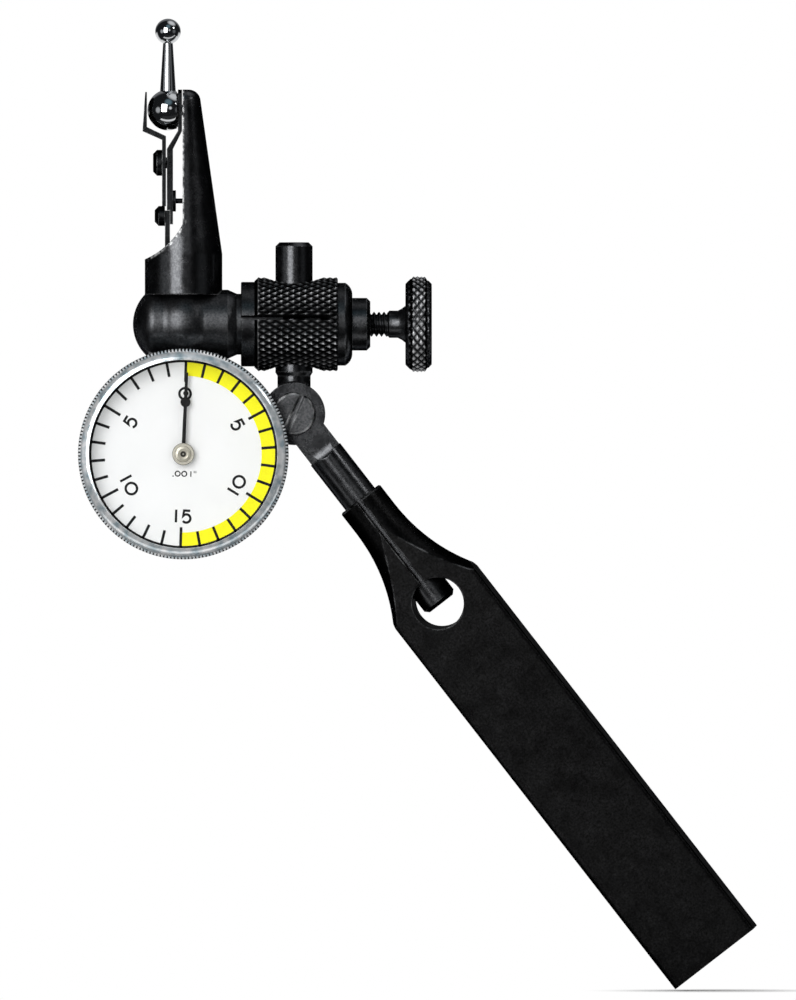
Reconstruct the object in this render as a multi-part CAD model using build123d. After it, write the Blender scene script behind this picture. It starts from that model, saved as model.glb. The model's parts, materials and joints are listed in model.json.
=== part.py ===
from build123d import *
import math
import os

# A lever dial test indicator on a swivel clamp, a knuckle and a flat tool-post shank.
# Millimetres. +Z is up, the dial faces -Y, and the origin is the centre of the shank's outer end face.

# Layout of the axes
arm_lean = 37.84
shank_length = 73.7
rod_reach = 13.7
clamp_rise = 11.38
barrel_offset = 14.03
fulcrum_height = 27.2
dial_clearance = 3.1

# Fits shared by the pieces
run_gap = 0.04
thread_gap = 0.02
seat_gap = 0.05
overrun = 1.0

# Shank: a flat bar turned down to a split tube
bar_width = 12.7
bar_thickness = 6.35
bar_twist = 6.0
bar_edge = 0.55
tube_radius = 3.1
tube_mouth = 0.2
flare_radius = 22.9
tube_length = 3.2
relief_radius = 3.3
slit_length = 16.5
slit_width = 0.6

# Swivel rod with its half of the knuckle
rod_radius = 2.35
rod_grip = 16.8
rod_chamfer = 0.5
eye_radius = 3.97
eye_thickness = 1.9
jaw_gap = 0.15
tongue_width = 4.42
tongue_root = 5.6
tongue_shoulder = 6.5
cove_radius = 2.2

# Knuckle screw
knuckle_screw_radius = 1.4
knuckle_head_radius = 2.67
knuckle_head_height = 0.95
knuckle_head_recess = 0.3
knuckle_head_edge = 0.15
knuckle_slot_width = 0.64
knuckle_slot_depth = 0.45
knuckle_slot_angle = 24.6

# Knuckle post and the cross stem that turns on it
post_radius = 2.1
flange_radius = 2.42
flange_height = 0.55
spigot_radius = 1.46
spigot_length = 8.8
stem_radius = 2.36
stem_top = 21.78
stem_chamfer = 0.5

# Split clamp sleeve; places along its axis are counted from the stem
sleeve_radius = 5.97
sleeve_start = 5.02
sleeve_end = 5.56
sleeve_bevel = 0.55
collar_radius = 5.37
collar_end = 6.73
clamp_web = 1.0
countersink_radius = 3.6
countersink_depth = 1.1
clamp_slot_width = 0.6
clamp_slot_end = 4.3
clamp_slot_angle = 8.3

# End cap of the clamp
cap_inner_end = 4.8
cap_radius = 5.26
cap_rim = 0.95
cap_shoulder = 0.86
boss_radius = 3.34
boss_end = 9.69
boss_edge = 0.45

# Pressure shoe, plunger and thumb screw
stub_end_gap = 3.45
shoe_length = 2.1
plunger_radius = 3.0
plunger_start = 1.3
plunger_end = 3.4
pilot_radius = 0.9
pilot_length = 0.55
thread_radius = 1.58
thread_end = 11.99
screw_neck_radius = 1.73
screw_neck_end = 13.18
screw_cone_radius = 2.35
thumb_radius = 6.1
thumb_start = 14.14
thumb_width = 3.36
thumb_chamfer = 0.95

# Indicator body; the clamp's axis is at its zero height
barrel_radius = 4.92
barrel_shoulder = 3.8
taper_start = 8.9
taper_angle = 8.02
arm_rise = 2.6
tip_round_share = 0.76
flat_place = 0.1
scoop_radius = 9.3
scoop_offset = 8.3
scoop_drop = 14.53
bulge_radius = 4.38
bulge_dome = 5.52
bulge_reach = 6.43
bulge_end = 5.64
bulge_fillet = 1.5
stub_radius = 3.87
stub_cone = 1.16
housing_inset = 2.7
housing_front = 3.2
housing_back = 3.95
neck_half_thickness = 2.4
neck_top_width = 7.6
neck_foot_width = 11.6
cavity_wall = 3.5
cavity_front = 2.7
cavity_back = 2.75

# Tail channel down the barrel
channel_near = 1.15
channel_far = 2.95
channel_top_half = 1.5
channel_foot_half = 2.6

# Back cover and its screws
cover_inset = 1.2
cover_edge = 0.25
cover_screw_count = 3
cover_screw_inset = 1.2
cover_screw_radius = 0.45
cover_head_radius = 0.75
cover_head_height = 0.5
cover_screw_length = 2.4
cover_slot_width = 0.22
cover_slot_depth = 0.22
slot_edge_share = 0.25

# Dial case, front to back counted from the barrel's axis towards the dial
case_radius = 12.2
case_front = 5.1
case_floor = 3.9
case_edge = 0.4
case_pocket_inset = 5.8
case_screw_offset = 1.5
snap_place = 4.65
snap_width = 0.3
snap_depth = 0.2

# Bezel and what it carries
bezel_wall = 1.2
bezel_back = 4.2
bezel_shoulder = 7.3
bezel_step_wall = 0.63
bezel_step_height = 0.4
bezel_crown_wall = 0.2
bezel_front = 8.75
bezel_edge = 0.2
bezel_lip_inset = 0.25
bezel_lip_drop = 0.25
bezel_fit = 0.05
crystal_back = 7.3
crystal_front = 8.0
dial_back = 5.2
dial_thickness = 0.35
dial_hole_radius = 1.0

# Fulcrum, lever and its clip; sideways places are counted from the barrel's axis to the left
stud_radius = 0.7
stud_depth = 1.5
lever_swing = 2.43
pointer_swing = 200.0
cheek_near = 0.2
cheek_far = 0.71
cheek_top = 2.6
cheek_drop = 2.65
jog_drop = 4.95
lever_near = 1.35
lever_far = 2.11
lever_width = 3.0
lap_near_share = 0.5
lap_drop = 12.7
lap_length = 1.8
boss_near = 0.97
pin_boss_radius = 1.35
limit_pin_drop = 11.54
limit_pin_radius = 0.32
limit_pin_reach = 0.9
limit_hole_radius = 0.88
clip_near = 2.24
clip_far = 2.72
clip_foot_drop = 12.2
clip_width = 3.2
clip_leaf_near = 4.66
clip_leaf_far = 5.2
clip_leaf_top = 2.3
clip_tip = 0.2
clip_jog_top = 2.15
clip_jog_foot = 3.3
clip_seat_radius = 0.75
tension_drop = 6.7
tension_head_radius = 1.65
tension_head_height = 1.15
tension_head_edge = 0.5
tension_radius = 0.7
clip_screw_drop = 13.45
clip_screw_head = 1.27
clip_screw_edge = 0.5
clip_screw_head_height = 1.3
clip_screw_radius = 0.5
lever_slot_width = 0.4
lever_slot_depth = 0.4

# Tail and follower pin
tail_thickness = 0.63
tail_top_width = 1.8
tail_foot_width = 0.9
tail_overhang = 0.55
follower_radius = 0.2
follower_tip = 0.5

# Contact point
swivel_radius = 2.6
swivel_offset = 1.98
swivel_flat = 0.84
contact_length = 9.99
contact_radius = 1.62
contact_root_radius = 1.0
contact_neck_radius = 0.62
stud_seat = 0.76

# Helical spindle and pointer
spindle_radius = 0.8
spindle_rim = 0.5
groove_run_out = 0.3
spindle_pivot_radius = 0.4
spindle_shaft_radius = 0.5
groove_width = 0.54
groove_floor = 0.42
bush_radius = 1.5
rear_bush_radius = 1.2
hand_back = 6.35
hand_thickness = 0.15
hand_clearance = 1.8
hand_root_half = 0.34
hand_tip_half = 0.05
hand_lean = 2.5
hand_disc_radius = 0.69
hand_disc_drop = 3.7
hand_bead_radius = 0.36
hand_bead_drop = 2.65
hub_radius = 1.4
hub_step_radius = 0.85
hub_step_height = 0.25
hub_back = 5.95
hub_rim = 0.15

# Hairspring, its collet and stud
spring_back = 4.25
spring_height = 0.3
spring_width = 0.12
spring_inner = 1.45
spring_clearance = 1.4
spring_turns = 5
spring_turn_steps = 16
collet_radius = 1.1
collet_height = 0.6
spring_stud_radius = 0.4


# Sizes that follow from the ones above

knuckle_reach = shank_length + rod_reach
flare_end = shank_length - tube_length
relief_place = shank_length - slit_length
rod_foot = shank_length - rod_grip
post_top = clamp_rise - sleeve_radius - seat_gap
jaw_radius = eye_radius + jaw_gap
stub_end = barrel_offset - stub_end_gap
arm_top = fulcrum_height + arm_rise
scoop_height = fulcrum_height - scoop_drop
housing_radius = case_radius - housing_inset
cavity_radius = housing_radius - cavity_wall
cover_radius = housing_radius - cover_inset
cover_screw_circle = cover_radius - cover_screw_inset
case_pocket = case_radius - case_pocket_inset
case_screw_circle = case_pocket + case_screw_offset
bezel_radius = case_radius + bezel_wall
bezel_step_radius = case_radius + bezel_step_wall
bezel_crown_radius = case_radius + bezel_crown_wall
bezel_lip_radius = case_radius - bezel_lip_inset
dial_drop = bezel_radius + dial_clearance
lap_top = fulcrum_height - lap_drop
lap_foot = lap_top - lap_length
limit_pin_height = fulcrum_height - limit_pin_drop
clip_foot = fulcrum_height - clip_foot_drop
tension_height = fulcrum_height - tension_drop
clip_screw_height = fulcrum_height - clip_screw_drop
tail_near = lever_far - (lever_far - lever_near) * lap_near_share
tail_far = tail_near + tail_thickness
tail_reach = fulcrum_height + dial_drop
groove_lead = tail_reach * math.tan(math.radians(lever_swing)) * 360.0 / pointer_swing
groove_half = groove_lead * pointer_swing / 360.0
spindle_half = groove_half + spindle_rim
hand_length = case_radius - hand_clearance
hand_disc_place = hand_length - hand_disc_drop
hand_bead_place = hand_length - hand_bead_drop
hub_step = hand_back + hand_thickness + hub_rim
hub_front = hub_step + hub_step_height
spring_outer = case_pocket - spring_clearance

# Frames of the groups of pieces

lean = math.radians(arm_lean)
arm_frame = Plane(
    origin=(0, 0, 0),
    x_dir=(math.cos(lean), 0, math.sin(lean)),
    z_dir=(-math.sin(lean), 0, math.cos(lean)),
)
knuckle_point = Vector(-math.sin(lean) * knuckle_reach, 0, math.cos(lean) * knuckle_reach)
clamp_point = knuckle_point + Vector(0, 0, clamp_rise)
barrel_point = clamp_point - Vector(barrel_offset, 0, 0)

knuckle_frame = Plane(origin=knuckle_point)
knuckle_face = Plane(origin=knuckle_point, x_dir=(1, 0, 0), z_dir=(0, -1, 0))
clamp_frame = Plane(origin=clamp_point, x_dir=(0, 0, 1), z_dir=(1, 0, 0))
barrel_frame = Plane(origin=barrel_point)
dial_seat = Plane(origin=(0, 0, -dial_drop), x_dir=(1, 0, 0), z_dir=(0, -1, 0))
dial_frame = Plane(barrel_frame.location * dial_seat.location)


def disc(radius, low, high):
    """A cylinder on the local Z axis from low to high."""
    return Pos(0, 0, low) * extrude(Circle(radius), high - low)


def ring(outer, inner, low, high):
    """A flat ring on the local Z axis."""
    return Pos(0, 0, low) * extrude(Circle(outer) - Circle(inner), high - low)


def block(x_range, y_range, z_range):
    """A box between three pairs of limits."""
    size = [high - low for low, high in (x_range, y_range, z_range)]
    middle = [(high + low) / 2 for low, high in (x_range, y_range, z_range)]
    return Pos(*middle) * Box(*size)


def turned(outline):
    """The solid turned from a closed outline of radius and height."""
    return revolve(Plane.XZ * make_face(outline), Axis.Z)


def turned_profile(points):
    """The solid turned from a list of radius and height points, closed on its axis."""
    low, high = points[0][1], points[-1][1]
    return turned(Polyline((0, low), *points, (0, high), (0, low)))


def plate(face, front, back):
    """A face drawn in X and Z, made a plate between two values of Y."""
    drawing = Plane(origin=(0, back, 0), x_dir=(1, 0, 0), z_dir=(0, -1, 0))
    return extrude(drawing * face, back - front)


def rod_along_x(radius, low, high, height):
    """A cylinder along X between two places, at a height."""
    drawing = Plane(origin=(low, 0, height), x_dir=(0, 1, 0), z_dir=(1, 0, 0))
    return extrude(drawing * Circle(radius), high - low)


def sheet(face, low, high):
    """A face drawn in Y and Z, made a sheet between two places along X."""
    drawing = Plane(origin=(low, 0, 0), x_dir=(0, 1, 0), z_dir=(1, 0, 0))
    return extrude(drawing * face, high - low)


# Shank


def flare_blank():
    """The turned form round the bar: a cylinder, a concave flare and the tube."""
    blank_radius = math.hypot(bar_width, bar_thickness) / 2 + bar_edge
    rise = flare_radius - (blank_radius - tube_radius)
    sweep = math.degrees(math.acos(rise / flare_radius))
    flare_start = flare_end - math.sqrt(flare_radius**2 - rise**2)
    side = Polyline((0, 0), (blank_radius, 0), (blank_radius, flare_start))
    flare = CenterArc((tube_radius + flare_radius, flare_end), flare_radius, 180 + sweep, -sweep)
    mouth = tube_radius - tube_mouth
    tube = Polyline(
        (tube_radius, flare_end),
        (tube_radius, shank_length - tube_mouth),
        (mouth, shank_length),
        (0, shank_length),
        (0, 0),
    )
    return turned(side + flare + tube)


def tool_post_holder():
    """Flat shank whose upper end is turned to a split tube that grips the swivel rod."""
    half_width, half_thickness = bar_width / 2, bar_thickness / 2
    bar = block((-half_width, half_width), (-half_thickness, half_thickness), (0, shank_length))
    bar = fillet(bar.edges().filter_by(Axis.Z), bar_edge)
    body = bar & flare_blank()
    body -= Pos(0, 0, relief_place) * Rot(90, 0, 0) * Cylinder(relief_radius, bar_width)
    body -= disc(rod_radius + run_gap, relief_place, shank_length + overrun)
    half_slit = slit_width / 2
    body -= block((-half_slit, half_slit), (-bar_thickness, 0), (relief_place, shank_length + overrun))
    return arm_frame * (Rot(0, 0, -bar_twist) * body)


# Swivel rod and knuckle


def swivel_rod():
    """Round rod with a coved flat and the front eye of the knuckle."""
    shaft = disc(rod_radius, rod_foot, knuckle_reach - eye_radius / 2)
    shaft = chamfer(shaft.edges().group_by(Axis.Z)[0], rod_chamfer)
    root = knuckle_reach - tongue_root
    top = knuckle_reach + eye_radius
    half_tongue = tongue_width / 2
    for side in (-1, 1):
        edge_limits = sorted((side * half_tongue, side * (half_tongue + rod_radius)))
        shaft -= block(edge_limits, (-rod_radius, rod_radius), (knuckle_reach - tongue_shoulder, top))
    shaft -= block((-rod_radius, rod_radius), (-rod_radius - overrun, -eye_thickness), (root, top))
    cove = rod_along_x(cove_radius, -rod_radius, rod_radius, root)
    shaft -= Pos(0, -eye_thickness - cove_radius, 0) * cove
    jaw = plate(Pos(0, knuckle_reach) * Circle(jaw_radius), 0, rod_radius + overrun)
    shaft -= jaw
    tongue = Pos(0, knuckle_reach - tongue_shoulder / 2) * Rectangle(tongue_width, tongue_shoulder)
    eye = plate(Pos(0, knuckle_reach) * Circle(eye_radius) + tongue, -eye_thickness, 0)
    body = shaft + eye
    hole = Pos(0, knuckle_reach) * Circle(knuckle_screw_radius + run_gap)
    body -= plate(hole, -eye_thickness - overrun, overrun)
    recess = Pos(0, knuckle_reach) * Circle(knuckle_head_radius + seat_gap)
    body -= plate(recess, -eye_thickness - overrun, -eye_thickness + knuckle_head_recess)
    return arm_frame * body


def knuckle_post():
    """Rear eye of the knuckle under a round neck, a flange and the spigot of the cross stem."""
    neck = Pos(0, post_top / 2) * Rectangle(post_radius * 2, post_top)
    eye = plate(Circle(eye_radius) + neck, 0, eye_thickness)
    column = turned_profile(
        [
            (post_radius, 0),
            (post_radius, post_top - flange_height),
            (flange_radius, post_top),
        ]
    )
    column -= plate(Circle(jaw_radius), -flange_radius, 0)
    column -= plate(Circle(eye_radius), 0, flange_radius)
    body = eye + column + disc(spigot_radius, post_top, post_top + spigot_length)
    body -= block((-flange_radius, flange_radius), (eye_thickness, flange_radius), (-eye_radius, eye_radius))
    body -= plate(Circle(knuckle_screw_radius + thread_gap), -overrun, eye_thickness + overrun)
    return knuckle_frame * body


def slotted_head(radius, shank_radius, height, shank, edge, slot):
    """A cheese-head screw along Z with its seat at zero and its head upwards."""
    slot_width, slot_depth, slot_angle = slot
    head = disc(radius, 0, height)
    head = chamfer(head.edges().group_by(Axis.Z)[-1], edge)
    cut = block((-slot_width / 2, slot_width / 2), (-radius, radius), (height - slot_depth, height))
    head -= Rot(0, 0, slot_angle) * cut
    return head + disc(shank_radius, -shank, 0)


def knuckle_screw():
    """Slotted pivot screw through the front eye, threaded into the rear one."""
    seat = eye_thickness - knuckle_head_recess
    slot = (knuckle_slot_width, knuckle_slot_depth, -knuckle_slot_angle)
    body = slotted_head(
        knuckle_head_radius,
        knuckle_screw_radius,
        knuckle_head_height,
        seat + eye_thickness,
        knuckle_head_edge,
        slot,
    )
    return knuckle_face * (Pos(0, 0, seat) * body)


def cross_stem():
    """Stem across the clamp, a blind sleeve that turns on the post's spigot."""
    body = disc(stem_radius, post_top, stem_top)
    body = chamfer(body.edges().group_by(Axis.Z)[-1], stem_chamfer)
    body -= disc(spigot_radius + run_gap, post_top, post_top + spigot_length + seat_gap)
    return knuckle_frame * body


# Clamp, its cap and the parts that press on the stem


def stem_bore(gap):
    """The cross stem's cylinder with a gap, in the clamp's frame."""
    return Rot(0, 90, 0) * Cylinder(stem_radius + gap, sleeve_radius * 4)


def clamp_sleeve():
    """Knurled split sleeve that holds the indicator's stub and the cross stem."""
    body = turned_profile(
        [
            (collar_radius, -collar_end),
            (collar_radius, -sleeve_start),
            (sleeve_radius - sleeve_bevel, -sleeve_start),
            (sleeve_radius, -sleeve_start + sleeve_bevel),
            (sleeve_radius, sleeve_end),
        ]
    )
    body -= disc(stub_radius + run_gap, -collar_end - overrun, -clamp_web)
    body -= disc(plunger_radius + run_gap, clamp_web, sleeve_end + overrun)
    body -= stem_bore(run_gap)
    bore_radius = stem_radius + run_gap
    foot = (Align.CENTER, Align.CENTER, Align.MAX)
    sink = Cone(bore_radius, countersink_radius, countersink_depth, align=foot)
    for turn in (0, 180):
        body -= Rot(0, 90 + turn, 0) * Pos(0, 0, sleeve_radius) * sink
    half_slot = clamp_slot_width / 2
    slot = block((-half_slot, half_slot), (0, sleeve_radius * 2), (-collar_end - overrun, clamp_slot_end))
    body -= Rot(0, 0, -clamp_slot_angle) * slot
    return clamp_frame * body


def clamp_end_cap():
    """Round-shouldered cap with the threaded boss of the thumb screw."""
    rim_end = sleeve_end + cap_rim
    boss_start = rim_end + cap_shoulder
    hole = thread_radius + run_gap
    inside = Polyline(
        (hole, boss_end),
        (hole, cap_inner_end),
        (plunger_radius, cap_inner_end),
        (plunger_radius, sleeve_end),
        (cap_radius, sleeve_end),
        (cap_radius, rim_end),
    )
    bend = math.sqrt(0.5)
    middle = (
        boss_radius + (cap_radius - boss_radius) * bend,
        rim_end + cap_shoulder * bend,
    )
    shoulder = ThreePointArc((cap_radius, rim_end), middle, (boss_radius, boss_start))
    outside = Polyline(
        (boss_radius, boss_start),
        (boss_radius, boss_end - boss_edge),
        (boss_radius - boss_edge, boss_end),
        (hole, boss_end),
    )
    return clamp_frame * turned(inside + shoulder + outside)


def pressure_shoe():
    """Saddle between the cross stem and the end of the indicator's stub."""
    body = disc(stub_radius, -stub_end_gap + seat_gap, -stub_end_gap + shoe_length)
    return clamp_frame * (body - stem_bore(run_gap))


def pressure_plunger():
    """Saddle that the thumb screw pushes against the cross stem."""
    body = disc(plunger_radius, plunger_start, plunger_end) - stem_bore(run_gap)
    body -= disc(pilot_radius + run_gap, plunger_end - pilot_length - seat_gap, plunger_end + overrun)
    return clamp_frame * body


def thumb_screw():
    """Thumb screw with a pilot, a thread, a neck and a broad wheel."""
    wheel_end = thumb_start + thumb_width
    rim = thumb_radius - thumb_chamfer
    thread_start = plunger_end + seat_gap
    body = turned_profile(
        [
            (pilot_radius, plunger_end - pilot_length),
            (pilot_radius, thread_start),
            (thread_radius, thread_start),
            (thread_radius, thread_end),
            (screw_neck_radius, thread_end),
            (screw_neck_radius, screw_neck_end),
            (screw_cone_radius, thumb_start),
            (rim, thumb_start),
            (thumb_radius, thumb_start + thumb_chamfer),
            (thumb_radius, wheel_end - thumb_chamfer),
            (rim, wheel_end),
        ]
    )
    return clamp_frame * body


# Indicator body


def arm_blank():
    """Turned barrel over the bulge, with the long taper of the arm."""
    top_radius = barrel_radius - (arm_top - taper_start) * math.tan(math.radians(taper_angle))
    body = turned_profile(
        [
            (barrel_radius, barrel_shoulder),
            (barrel_radius, taper_start),
            (top_radius, arm_top),
        ]
    )
    rim = body.edges().filter_by(GeomType.CIRCLE).group_by(Axis.Z)[-1]
    return fillet(rim, top_radius * tip_round_share)


def bulge_and_stub():
    """Domed cross bulge, a ball under the barrel, that narrows to the swivel stub on its right."""
    dome_centre = bulge_dome - bulge_reach
    rise = math.degrees(math.asin(bulge_radius / bulge_dome))
    dome = CenterArc((0, dome_centre), bulge_dome, -90, rise)
    dome_edge = dome_centre - math.sqrt(bulge_dome**2 - bulge_radius**2)
    waist = math.sqrt(barrel_radius**2 - bulge_radius**2)
    half_angle = math.degrees(math.asin(waist / barrel_radius))
    ball = CenterArc((0, 0), barrel_radius, -half_angle, half_angle * 2)
    side = Polyline(
        (bulge_radius, waist),
        (bulge_radius, bulge_end),
        (stub_radius, bulge_end + stub_cone),
        (stub_radius, stub_end),
        (0, stub_end),
        (0, -bulge_reach),
    )
    body = turned(dome + Line((bulge_radius, dome_edge), (bulge_radius, -waist)) + ball + side)
    circles = [edge for edge in body.edges().filter_by(GeomType.CIRCLE) if edge.is_closed]
    creases = [edge for edge in circles if edge.center().Z < waist + seat_gap]
    return fillet(creases, bulge_fillet)


def scoop():
    """What the cutter takes off the arm's left half, down to its round run-out."""
    reach = barrel_radius + overrun
    above = block((-reach, -flat_place), (-reach, reach), (scoop_height, arm_top + overrun))
    below = block((-reach, -flat_place), (-reach, reach), (0, scoop_height + seat_gap))
    centre_height = scoop_height + math.sqrt(scoop_radius**2 - scoop_offset**2)
    cutter = Pos(-flat_place - scoop_offset, 0, centre_height) * Rot(90, 0, 0)
    return above + (below & cutter * Cylinder(scoop_radius, reach * 2))


def tail_channel():
    """Room for the swinging tail, from the scoop down into the housing."""
    top, foot = scoop_height, cavity_radius - dial_drop - overrun
    outline = Polyline(
        (-channel_top_half, top),
        (channel_top_half, top),
        (channel_foot_half, foot),
        (-channel_foot_half, foot),
        (-channel_top_half, top),
    )
    return sheet(make_face(outline), -channel_far, -channel_near)


def housing():
    """Round movement housing and the neck that carries it under the bulge."""
    seat = Pos(0, -dial_drop) * Circle(housing_radius)
    neck_foot = housing_radius / 2 - dial_drop
    neck = Polyline(
        (-neck_top_width / 2, 0),
        (neck_top_width / 2, 0),
        (neck_foot_width / 2, neck_foot),
        (-neck_foot_width / 2, neck_foot),
        (-neck_top_width / 2, 0),
    )
    body = plate(seat, -housing_front, housing_back)
    web = plate(make_face(neck), -neck_half_thickness, neck_half_thickness)
    return body + web


def body_frame():
    """Body in one piece: scooped arm, barrel, bulge, stub and movement housing."""
    swivel = Rot(0, 90, 0) * bulge_and_stub()
    body = arm_blank() + swivel + housing()
    body -= scoop()
    body -= tail_channel()
    centre = Pos(0, -dial_drop)
    body -= plate(centre * Circle(cavity_radius), -cavity_front, cavity_back)
    body -= plate(centre * Circle(cover_radius + seat_gap), cavity_back, housing_back + overrun)
    body -= plate(centre * Circle(bush_radius), -housing_front - overrun, 0)
    body -= rod_along_x(stud_radius, -flat_place, stud_depth, fulcrum_height)
    body -= rod_along_x(limit_hole_radius, -overrun, stud_depth, limit_pin_height)
    for place in screw_places(cover_screw_circle):
        hole_end = -housing_back + cover_screw_length + seat_gap
        body -= dial_seat * (place * disc(cover_screw_radius + thread_gap, -housing_back, hole_end))
    for place in screw_places(case_screw_circle):
        hole = disc(cover_screw_radius + thread_gap, case_floor - cover_screw_length, case_floor)
        body -= dial_seat * (place * hole)
    return barrel_frame * body


def fulcrum_stud():
    """Stud pressed into the arm, on which the lever rocks and the contact swivels."""
    body = rod_along_x(stud_radius, -swivel_flat - stud_seat, stud_depth, fulcrum_height)
    return barrel_frame * body


def screw_places(circle):
    """Places of the small screws round the dial's axis."""
    step = 360 / cover_screw_count
    return [Rot(0, 0, 90 + step / 2 + step * n) * Pos(circle, 0, 0) for n in range(cover_screw_count)]


def small_screw():
    """Slotted housing screw, its seat at zero and its head upwards."""
    slot = (cover_slot_width, cover_slot_depth, 0)
    shank = cover_screw_length - cover_head_height
    edge = cover_slot_width * slot_edge_share
    return slotted_head(cover_head_radius, cover_screw_radius, cover_head_height, shank, edge, slot)


def back_cover():
    """Flat cover behind the movement, with the rear bush's hole and its screws' seats."""
    body = disc(cover_radius, -housing_back, -cavity_back)
    body = chamfer(body.edges().group_by(Axis.Z)[0], cover_edge)
    body -= disc(rear_bush_radius, -housing_back - overrun, overrun)
    seat = -housing_back + cover_head_height
    for place in screw_places(cover_screw_circle):
        body -= place * disc(cover_head_radius + seat_gap, -housing_back - overrun, seat)
        body -= place * disc(cover_screw_radius + seat_gap, -housing_back, -cavity_back)
    return dial_frame * body


def cover_screws():
    """The screws of the back cover, one piece each."""
    seat = -housing_back + cover_head_height
    return [
        dial_frame * (place * (Pos(0, 0, seat) * (Rot(180, 0, 0) * small_screw())))
        for place in screw_places(cover_screw_circle)
    ]


def dial_case():
    """Shallow case that the bezel turns on, with the hairspring's pocket."""
    body = disc(case_radius, housing_front, case_front)
    body = fillet(body.edges().group_by(Axis.Z)[0], case_edge)
    body -= disc(case_pocket, case_floor, case_front + overrun)
    body -= disc(bush_radius, 0, case_front)
    low = snap_place - snap_width / 2
    body -= ring(case_radius + overrun, case_radius - snap_depth, low, low + snap_width)
    head_room = case_front - cover_head_height
    for place in screw_places(case_screw_circle):
        body -= place * disc(cover_head_radius + seat_gap, head_room, case_front + overrun)
        body -= place * disc(cover_screw_radius + seat_gap, housing_front, case_front)
    return dial_frame * body


def case_screws():
    """The screws that hold the dial case on the housing, one piece each."""
    seat = case_front - cover_head_height
    return [
        dial_frame * (place * (Pos(0, 0, seat) * small_screw()))
        for place in screw_places(case_screw_circle)
    ]


def snap_ring():
    """Wire ring in the case's groove that the bezel snaps over."""
    low = snap_place - snap_width / 2
    return dial_frame * ring(case_radius, case_radius - snap_depth, low, low + snap_width)


def front_bush():
    """Bearing of the spindle in the housing's front wall and the case."""
    return dial_frame * ring(bush_radius, spindle_shaft_radius + run_gap, cavity_front, case_floor)


def rear_bush():
    """Bearing of the spindle in the back cover."""
    return dial_frame * ring(rear_bush_radius, spindle_pivot_radius + run_gap, -housing_back, -cavity_back)


# Bezel


def bezel_ring():
    """Bezel with its knurled band, polished crown, lip and rear pocket."""
    pocket = case_radius + bezel_fit
    step_end = bezel_shoulder + bezel_step_height
    lip_end = bezel_front - bezel_lip_drop
    outline = Polyline(
        (pocket, bezel_back),
        (bezel_radius - bezel_edge, bezel_back),
        (bezel_radius, bezel_back + bezel_edge),
        (bezel_radius, bezel_shoulder),
        (bezel_step_radius, step_end),
        (bezel_crown_radius + bezel_edge, bezel_front - bezel_edge),
        (bezel_crown_radius, bezel_front),
        (bezel_lip_radius, lip_end),
        (bezel_lip_radius, crystal_front),
        (pocket, crystal_front),
        (pocket, bezel_back),
    )
    return dial_frame * turned(outline)


def crystal():
    """Flat clear window behind the bezel's lip."""
    return dial_frame * disc(case_radius, crystal_back, crystal_front)


def spacer_ring():
    """Ring that keeps the dial and the window apart."""
    return dial_frame * ring(case_radius, bezel_lip_radius, dial_back + dial_thickness, crystal_back)


def dial_plate():
    """Plain dial disc that turns with the bezel."""
    return dial_frame * ring(case_radius, dial_hole_radius, dial_back, dial_back + dial_thickness)


# Lever group


def lever_arm():
    """Cranked lever: a round cheek on the fulcrum, a jog, a straight bar and a lap for the tail."""
    cheek_foot = fulcrum_height - cheek_drop
    jog_foot = fulcrum_height - jog_drop
    top = fulcrum_height + cheek_top
    outline = Polyline(
        (-cheek_near, top),
        (-cheek_far, top),
        (-cheek_far, cheek_foot),
        (-lever_far, jog_foot),
        (-lever_far, lap_top),
        (-tail_near, lap_top),
        (-tail_near, lap_foot),
        (-lever_near, lap_foot),
        (-lever_near, jog_foot),
        (-cheek_near, cheek_foot),
        (-cheek_near, top),
    )
    bar = plate(make_face(outline), -lever_width / 2, lever_width / 2)
    rounding = Pos(0, fulcrum_height) * Circle(cheek_top)
    body_height = cheek_foot - lap_foot
    straight = Pos(0, lap_foot + body_height / 2) * Rectangle(lever_width, body_height)
    between = Pos(0, cheek_foot + cheek_drop / 2) * Rectangle(lever_width, cheek_drop)
    bar &= sheet(rounding + straight + between, -lever_far, 0)
    bar += rod_along_x(pin_boss_radius, -lever_near, -boss_near, limit_pin_height)
    bar -= rod_along_x(stud_radius + run_gap, -cheek_far - overrun, overrun, fulcrum_height)
    bar -= rod_along_x(tension_radius + thread_gap, -lever_far - overrun, overrun, tension_height)
    bar -= rod_along_x(limit_pin_radius + thread_gap, -lever_far - overrun, overrun, limit_pin_height)
    bar -= rod_along_x(clip_screw_radius + thread_gap, -lever_far - overrun, overrun, clip_screw_height)
    return barrel_frame * bar


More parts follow.
